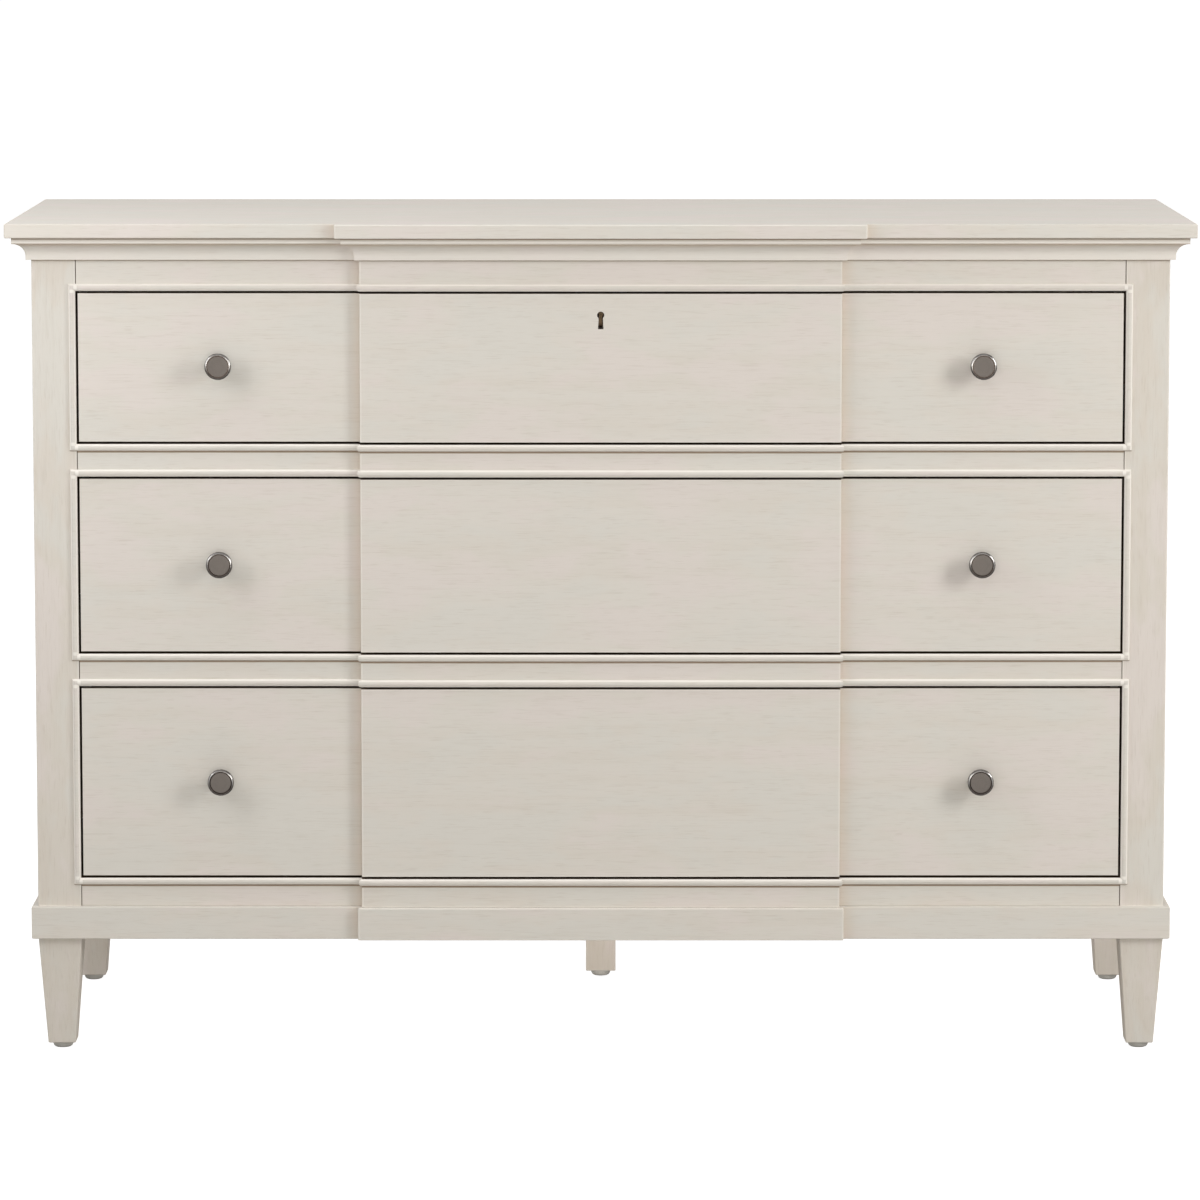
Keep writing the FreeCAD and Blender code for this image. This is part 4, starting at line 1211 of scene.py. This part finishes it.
def place_slides(model, name, node, body, x, levels):
    """Copies of a slide member at both sides, the left ones turned about, joined into one piece."""
    y = middle_of(node).y
    copies = []
    for z in levels:
        copies.append(moved_copy(model, f"{name}_right", Vector((x, y, z))))
        copies.append(moved_copy(model, f"{name}_left", Vector((-x, y, z)), math.pi))
    slides = joined(name, copies)
    # Both ends along Y are painted near black as shade
    dress(slides, zinc_steel(name, shaded_ends=[("Y", end.y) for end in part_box(node)]))
    stands_for(slides, body, "zinc_steel", node)


def add_slides(sizes):
    """The telescopic slides: rolled channels on the case, carriages, and channels screwed to the drawers."""
    kinds = [DRAWERS[0] + "_slide_carriages", DRAWERS[0] + "_drawer_slide_members"]
    heights = [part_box(node)[1].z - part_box(node)[0].z for node in kinds]
    levels = [middle_of(drawer + "_slide_carriages").z for drawer in DRAWERS]
    inward = LEFTWARD
    case_height = 2 * (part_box("case_slide_members")[1].z - max(levels))
    case_model = slide_model(sizes, "case_slide_model", "case_slide_members", case_height, inward)
    carriage_model = slide_model(sizes, "carriage_model", kinds[0], heights[0], inward)
    drawer_model = screwed(sizes, slide_model(sizes, "drawer_slide_model", kinds[1], heights[1], -inward))
    case_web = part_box("case_slide_members")[1].x
    carriage_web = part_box(kinds[0])[1].x
    drawer_web = least_half(kinds[1])
    place_slides(case_model, "case_slides", "case_slide_members", "case", case_web, levels)
    for drawer, z in zip(DRAWERS, levels):
        name = drawer + "_carriage_pair"
        node = drawer + "_slide_carriages"
        place_slides(carriage_model, name, node, drawer + "_carriages", carriage_web, [z])
        name = drawer + "_drawer_slides"
        node = drawer + "_drawer_slide_members"
        place_slides(drawer_model, name, node, drawer + "_drawer", drawer_web, [z])
    for model in (case_model, carriage_model, drawer_model):
        discard(model)


def add_lock_screws(sizes):
    """The four screws that hold the lock's case in the drawer front."""
    low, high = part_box("lock_body")
    inset = sizes.lock_screw_inset
    across = (low.x + inset, high.x - inset)
    levels = (low.z + inset, high.z - 2 * inset)
    places = [Vector((x, high.y, z)) for x in across for z in levels]
    screws = copies_joined(small_screw(sizes, "lock"), "lock_screws", places)
    dress(screws, aged_brass(screws.name))
    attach(screws, "upper_drawer")


def add_inner_boards():
    """The panels inside the case, the back and the hidden pieces of the base."""
    for node in ("case_top_panel", "upper_dust_panel", "lower_dust_panel", "bottom_panel", "base_rail_back"):
        dress(node, plain_board(node, "X"))
    dress("back_panel", plain_board("back_panel", "Z"))
    dress("base_corner_blocks", plain_board("base_corner_blocks", "Z"))


def add_back_screws(sizes):
    """The screws that hold the back panel, with their heads behind it."""
    seat = back_y - sizes.back_screw_height
    places = [Vector((p.x, seat, p.z)) for p in head_places("back_screws")]
    screws = copies_joined(small_screw(sizes, "back"), "back_panel_screws", places)
    dress(screws, zinc_steel(screws.name))
    stands_for(screws, "case", "zinc_steel", "back_screws")


# The stage

def soft_box(name, place, target, width, height, radiance, tint=(1, 1, 1)):
    """An area lamp of a given radiance, turned to a target, that no camera sees."""
    data = bpy.data.lights.new(name, "AREA")
    data.shape = "RECTANGLE"
    data.color = tint
    data.size = width
    data.size_y = height
    data.energy = radiance * math.pi * width * height
    lamp = bpy.data.objects.new(name, data)
    bpy.context.scene.collection.objects.link(lamp)
    lamp.location = place
    lamp.rotation_euler = (Vector(target) - lamp.location).to_track_quat("-Z", "Y").to_euler()
    lamp.visible_camera = False


def seen_directly(tree, mirrored_share=1.0):
    """One for camera and transmission rays, a share for glossy rays, nothing for the rest."""
    paths = add(tree, "ShaderNodeLightPath").outputs
    mirrored = times(tree, paths["Is Glossy Ray"], mirrored_share)
    seen = math_node(tree, "MAXIMUM", paths["Is Camera Ray"], mirrored)
    return math_node(tree, "MAXIMUM", seen, paths["Is Transmission Ray"])


def light_world(stage):
    world = bpy.data.worlds.new("studio")
    bpy.context.scene.world = world
    world.use_nodes = True
    tree = world.node_tree
    background = tree.nodes["Background"]
    seen = seen_directly(tree)
    tree.links.new(blend(tree, seen, stage.ambient_tint, (1, 1, 1)), background.inputs["Color"])
    strength = math_node(tree, "MULTIPLY_ADD", seen, 1 - stage.ambient, stage.ambient)
    tree.links.new(strength, background.inputs["Strength"])


def lay_floor(stage):
    deselect()
    bpy.ops.mesh.primitive_circle_add(vertices=64, radius=120, fill_type="NGON", location=(0, 0, 0))
    floor = named(bpy.context.object, "floor")
    material, tree, shader, place = finish("floor")
    speckle = spread(tree, noise(tree, place, (9, 9, 9), 3.0), 0.3, 0.7, 0.97, 1.0)
    tree.links.new(blend(tree, speckle, (0, 0, 0), stage.floor), shader.inputs["Base Color"])
    shader.inputs["Roughness"].default_value = 0.9
    shader.inputs["Specular IOR Level"].default_value = 0
    lift = times(tree, seen_directly(tree, 0.5), stage.floor_lift)
    glow = add(tree, "ShaderNodeEmission", {"Color": (1, 1, 1, 1), "Strength": lift})
    total = add(tree, "ShaderNodeAddShader", {0: shader.outputs[0], 1: glow.outputs[0]})
    tree.links.new(total.outputs[0], tree.nodes["Material Output"].inputs["Surface"])
    dress(floor, material)


def set_stage(stage):
    """The floor, the light from all round, the soft boxes and the camera."""
    lay_floor(stage)
    light_world(stage)
    middle = (0, 0, 0.55)
    soft_box("right_box", (2.5, -1.8, 1.6), (0, 0, 0.6), 0.8, 1.4, stage.key)
    soft_box("left_box", (-1.2, -0.85, 1.35), (0, 0, 0.8), 0.5, 1.2, stage.fill, stage.cool_tint)
    soft_box("upper_box", (0, -0.6, 3.4), (0, 0, 0.9), 3.2, 1.6, stage.over, stage.cool_tint)
    soft_box("middle_box", (0, -1.6, 1.6), (0, 0, 0.8), 1.6, 0.5, stage.middle)
    soft_box("front_box", (0, -4.0, 0.5), (0, 0, 0.1), 2.4, 0.6, stage.low, stage.warm_tint)
    soft_box("under_box", (0, -0.12, 0.09), (0, 0.25, 0.05), 0.96, 0.06, stage.under)
    soft_box("rear_right_box", (2.2, 3.4, 2.0), middle, 2.4, 2.0, stage.rear)
    soft_box("rear_left_box", (-2.2, 3.4, 2.0), middle, 2.4, 2.0, stage.rear)
    data = bpy.data.cameras.new("camera")
    data.lens = stage.camera_lens
    data.shift_x = stage.camera_shift_x
    data.shift_y = stage.camera_shift_y
    data.clip_end = 500
    camera = bpy.data.objects.new("camera", data)
    bpy.context.scene.collection.objects.link(camera)
    camera.location = (0, -stage.camera_distance, stage.camera_height)
    camera.rotation_euler = (math.radians(90) - stage.camera_pitch, 0, 0)
    bpy.context.scene.camera = camera
    bpy.context.scene.view_settings.view_transform = "Standard"


# Operators, one for each piece or group of like pieces

class CHEST_OT_top(bpy.types.Operator):
    """Make the top with its breakfront"""

    bl_idname = "chest.add_top"
    bl_label = "Top"

    def execute(self, context):
        add_top(context.scene.chest_sizes)
        return {"FINISHED"}


class CHEST_OT_coves(bpy.types.Operator):
    """Make the cove mouldings under the top"""

    bl_idname = "chest.add_coves"
    bl_label = "Cove mouldings"

    def execute(self, context):
        add_coves(context.scene.chest_sizes)
        return {"FINISHED"}


class CHEST_OT_beads(bpy.types.Operator):
    """Make the beads round the drawer openings"""

    bl_idname = "chest.add_beads"
    bl_label = "Beads"

    def execute(self, context):
        add_beads(context.scene.chest_sizes)
        return {"FINISHED"}


class CHEST_OT_case(bpy.types.Operator):
    """Finish the posts, rails and side panels"""

    bl_idname = "chest.add_case"
    bl_label = "Posts, rails and side panels"

    def execute(self, context):
        add_case()
        return {"FINISHED"}


class CHEST_OT_base(bpy.types.Operator):
    """Make the base mouldings"""

    bl_idname = "chest.add_base"
    bl_label = "Base mouldings"

    def execute(self, context):
        add_base(context.scene.chest_sizes)
        return {"FINISHED"}


class CHEST_OT_legs(bpy.types.Operator):
    """Make the tapered legs and the centre foot"""

    bl_idname = "chest.add_legs"
    bl_label = "Legs and centre foot"

    def execute(self, context):
        add_legs(context.scene.chest_sizes)
        return {"FINISHED"}


class CHEST_OT_glides(bpy.types.Operator):
    """Make the glides under the legs"""

    bl_idname = "chest.add_glides"
    bl_label = "Glides"

    def execute(self, context):
        add_glides(context.scene.chest_sizes)
        return {"FINISHED"}


class CHEST_OT_fronts(bpy.types.Operator):
    """Finish the drawer fronts"""

    bl_idname = "chest.add_fronts"
    bl_label = "Drawer fronts"

    def execute(self, context):
        add_fronts()
        return {"FINISHED"}


class CHEST_OT_boxes(bpy.types.Operator):
    """Finish the drawer boxes"""

    bl_idname = "chest.add_boxes"
    bl_label = "Drawer boxes"

    def execute(self, context):
        add_boxes()
        return {"FINISHED"}


class CHEST_OT_knobs(bpy.types.Operator):
    """Make the knobs and their screws"""

    bl_idname = "chest.add_knobs"
    bl_label = "Knobs"

    def execute(self, context):
        add_knobs(context.scene.chest_sizes)
        return {"FINISHED"}


class CHEST_OT_lock(bpy.types.Operator):
    """Make the keyhole liner and finish the lock"""

    bl_idname = "chest.add_lock"
    bl_label = "Lock and keyhole"

    def execute(self, context):
        add_lock(context.scene.chest_sizes)
        return {"FINISHED"}


class CHEST_OT_slides(bpy.types.Operator):
    """Make the telescopic slides"""

    bl_idname = "chest.add_slides"
    bl_label = "Slides"

    def execute(self, context):
        add_slides(context.scene.chest_sizes)
        return {"FINISHED"}


class CHEST_OT_inner_boards(bpy.types.Operator):
    """Finish the inner panels and the back"""

    bl_idname = "chest.add_inner_boards"
    bl_label = "Inner panels and back"

    def execute(self, context):
        add_inner_boards()
        return {"FINISHED"}


class CHEST_OT_back_screws(bpy.types.Operator):
    """Make the screws of the back panel"""

    bl_idname = "chest.add_back_screws"
    bl_label = "Back screws"

    def execute(self, context):
        add_back_screws(context.scene.chest_sizes)
        return {"FINISHED"}


class CHEST_OT_stage(bpy.types.Operator):
    """Set the floor, the lights and the camera"""

    bl_idname = "chest.set_stage"
    bl_label = "Stage"

    def execute(self, context):
        set_stage(context.scene.chest_stage)
        return {"FINISHED"}


OPERATORS = (
    CHEST_OT_top,
    CHEST_OT_coves,
    CHEST_OT_beads,
    CHEST_OT_case,
    CHEST_OT_base,
    CHEST_OT_legs,
    CHEST_OT_glides,
    CHEST_OT_fronts,
    CHEST_OT_boxes,
    CHEST_OT_knobs,
    CHEST_OT_lock,
    CHEST_OT_slides,
    CHEST_OT_inner_boards,
    CHEST_OT_back_screws,
    CHEST_OT_stage,
)


class CHEST_PT_panel(bpy.types.Panel):
    """The chest's pieces and settings"""

    bl_idname = "CHEST_PT_panel"
    bl_label = "Chest of drawers"
    bl_space_type = "VIEW_3D"
    bl_region_type = "UI"
    bl_category = "Chest"

    def draw(self, context):
        for operator in OPERATORS:
            self.layout.operator(operator.bl_idname)
        for settings in SETTINGS:
            box = self.layout.box()
            values = getattr(context.scene, settings)
            for key in values.bl_rna.properties.keys():
                if key not in ("rna_type", "name"):
                    box.prop(values, key)


SETTINGS = {"chest_sizes": ChestSizes, "chest_colours": ChestColours, "chest_stage": StageSettings}
CLASSES = (*SETTINGS.values(), *OPERATORS, CHEST_PT_panel)


def register():
    for cls in CLASSES:
        bpy.utils.register_class(cls)
    for key, cls in SETTINGS.items():
        setattr(bpy.types.Scene, key, PointerProperty(type=cls))


def unregister():
    for key in SETTINGS:
        delattr(bpy.types.Scene, key)
    for cls in reversed(CLASSES):
        bpy.utils.unregister_class(cls)


def main():
    register()
    for operator in OPERATORS:
        family, action = operator.bl_idname.split(".")
        getattr(getattr(bpy.ops, family), action)()


if __name__ == "__main__":
    main()
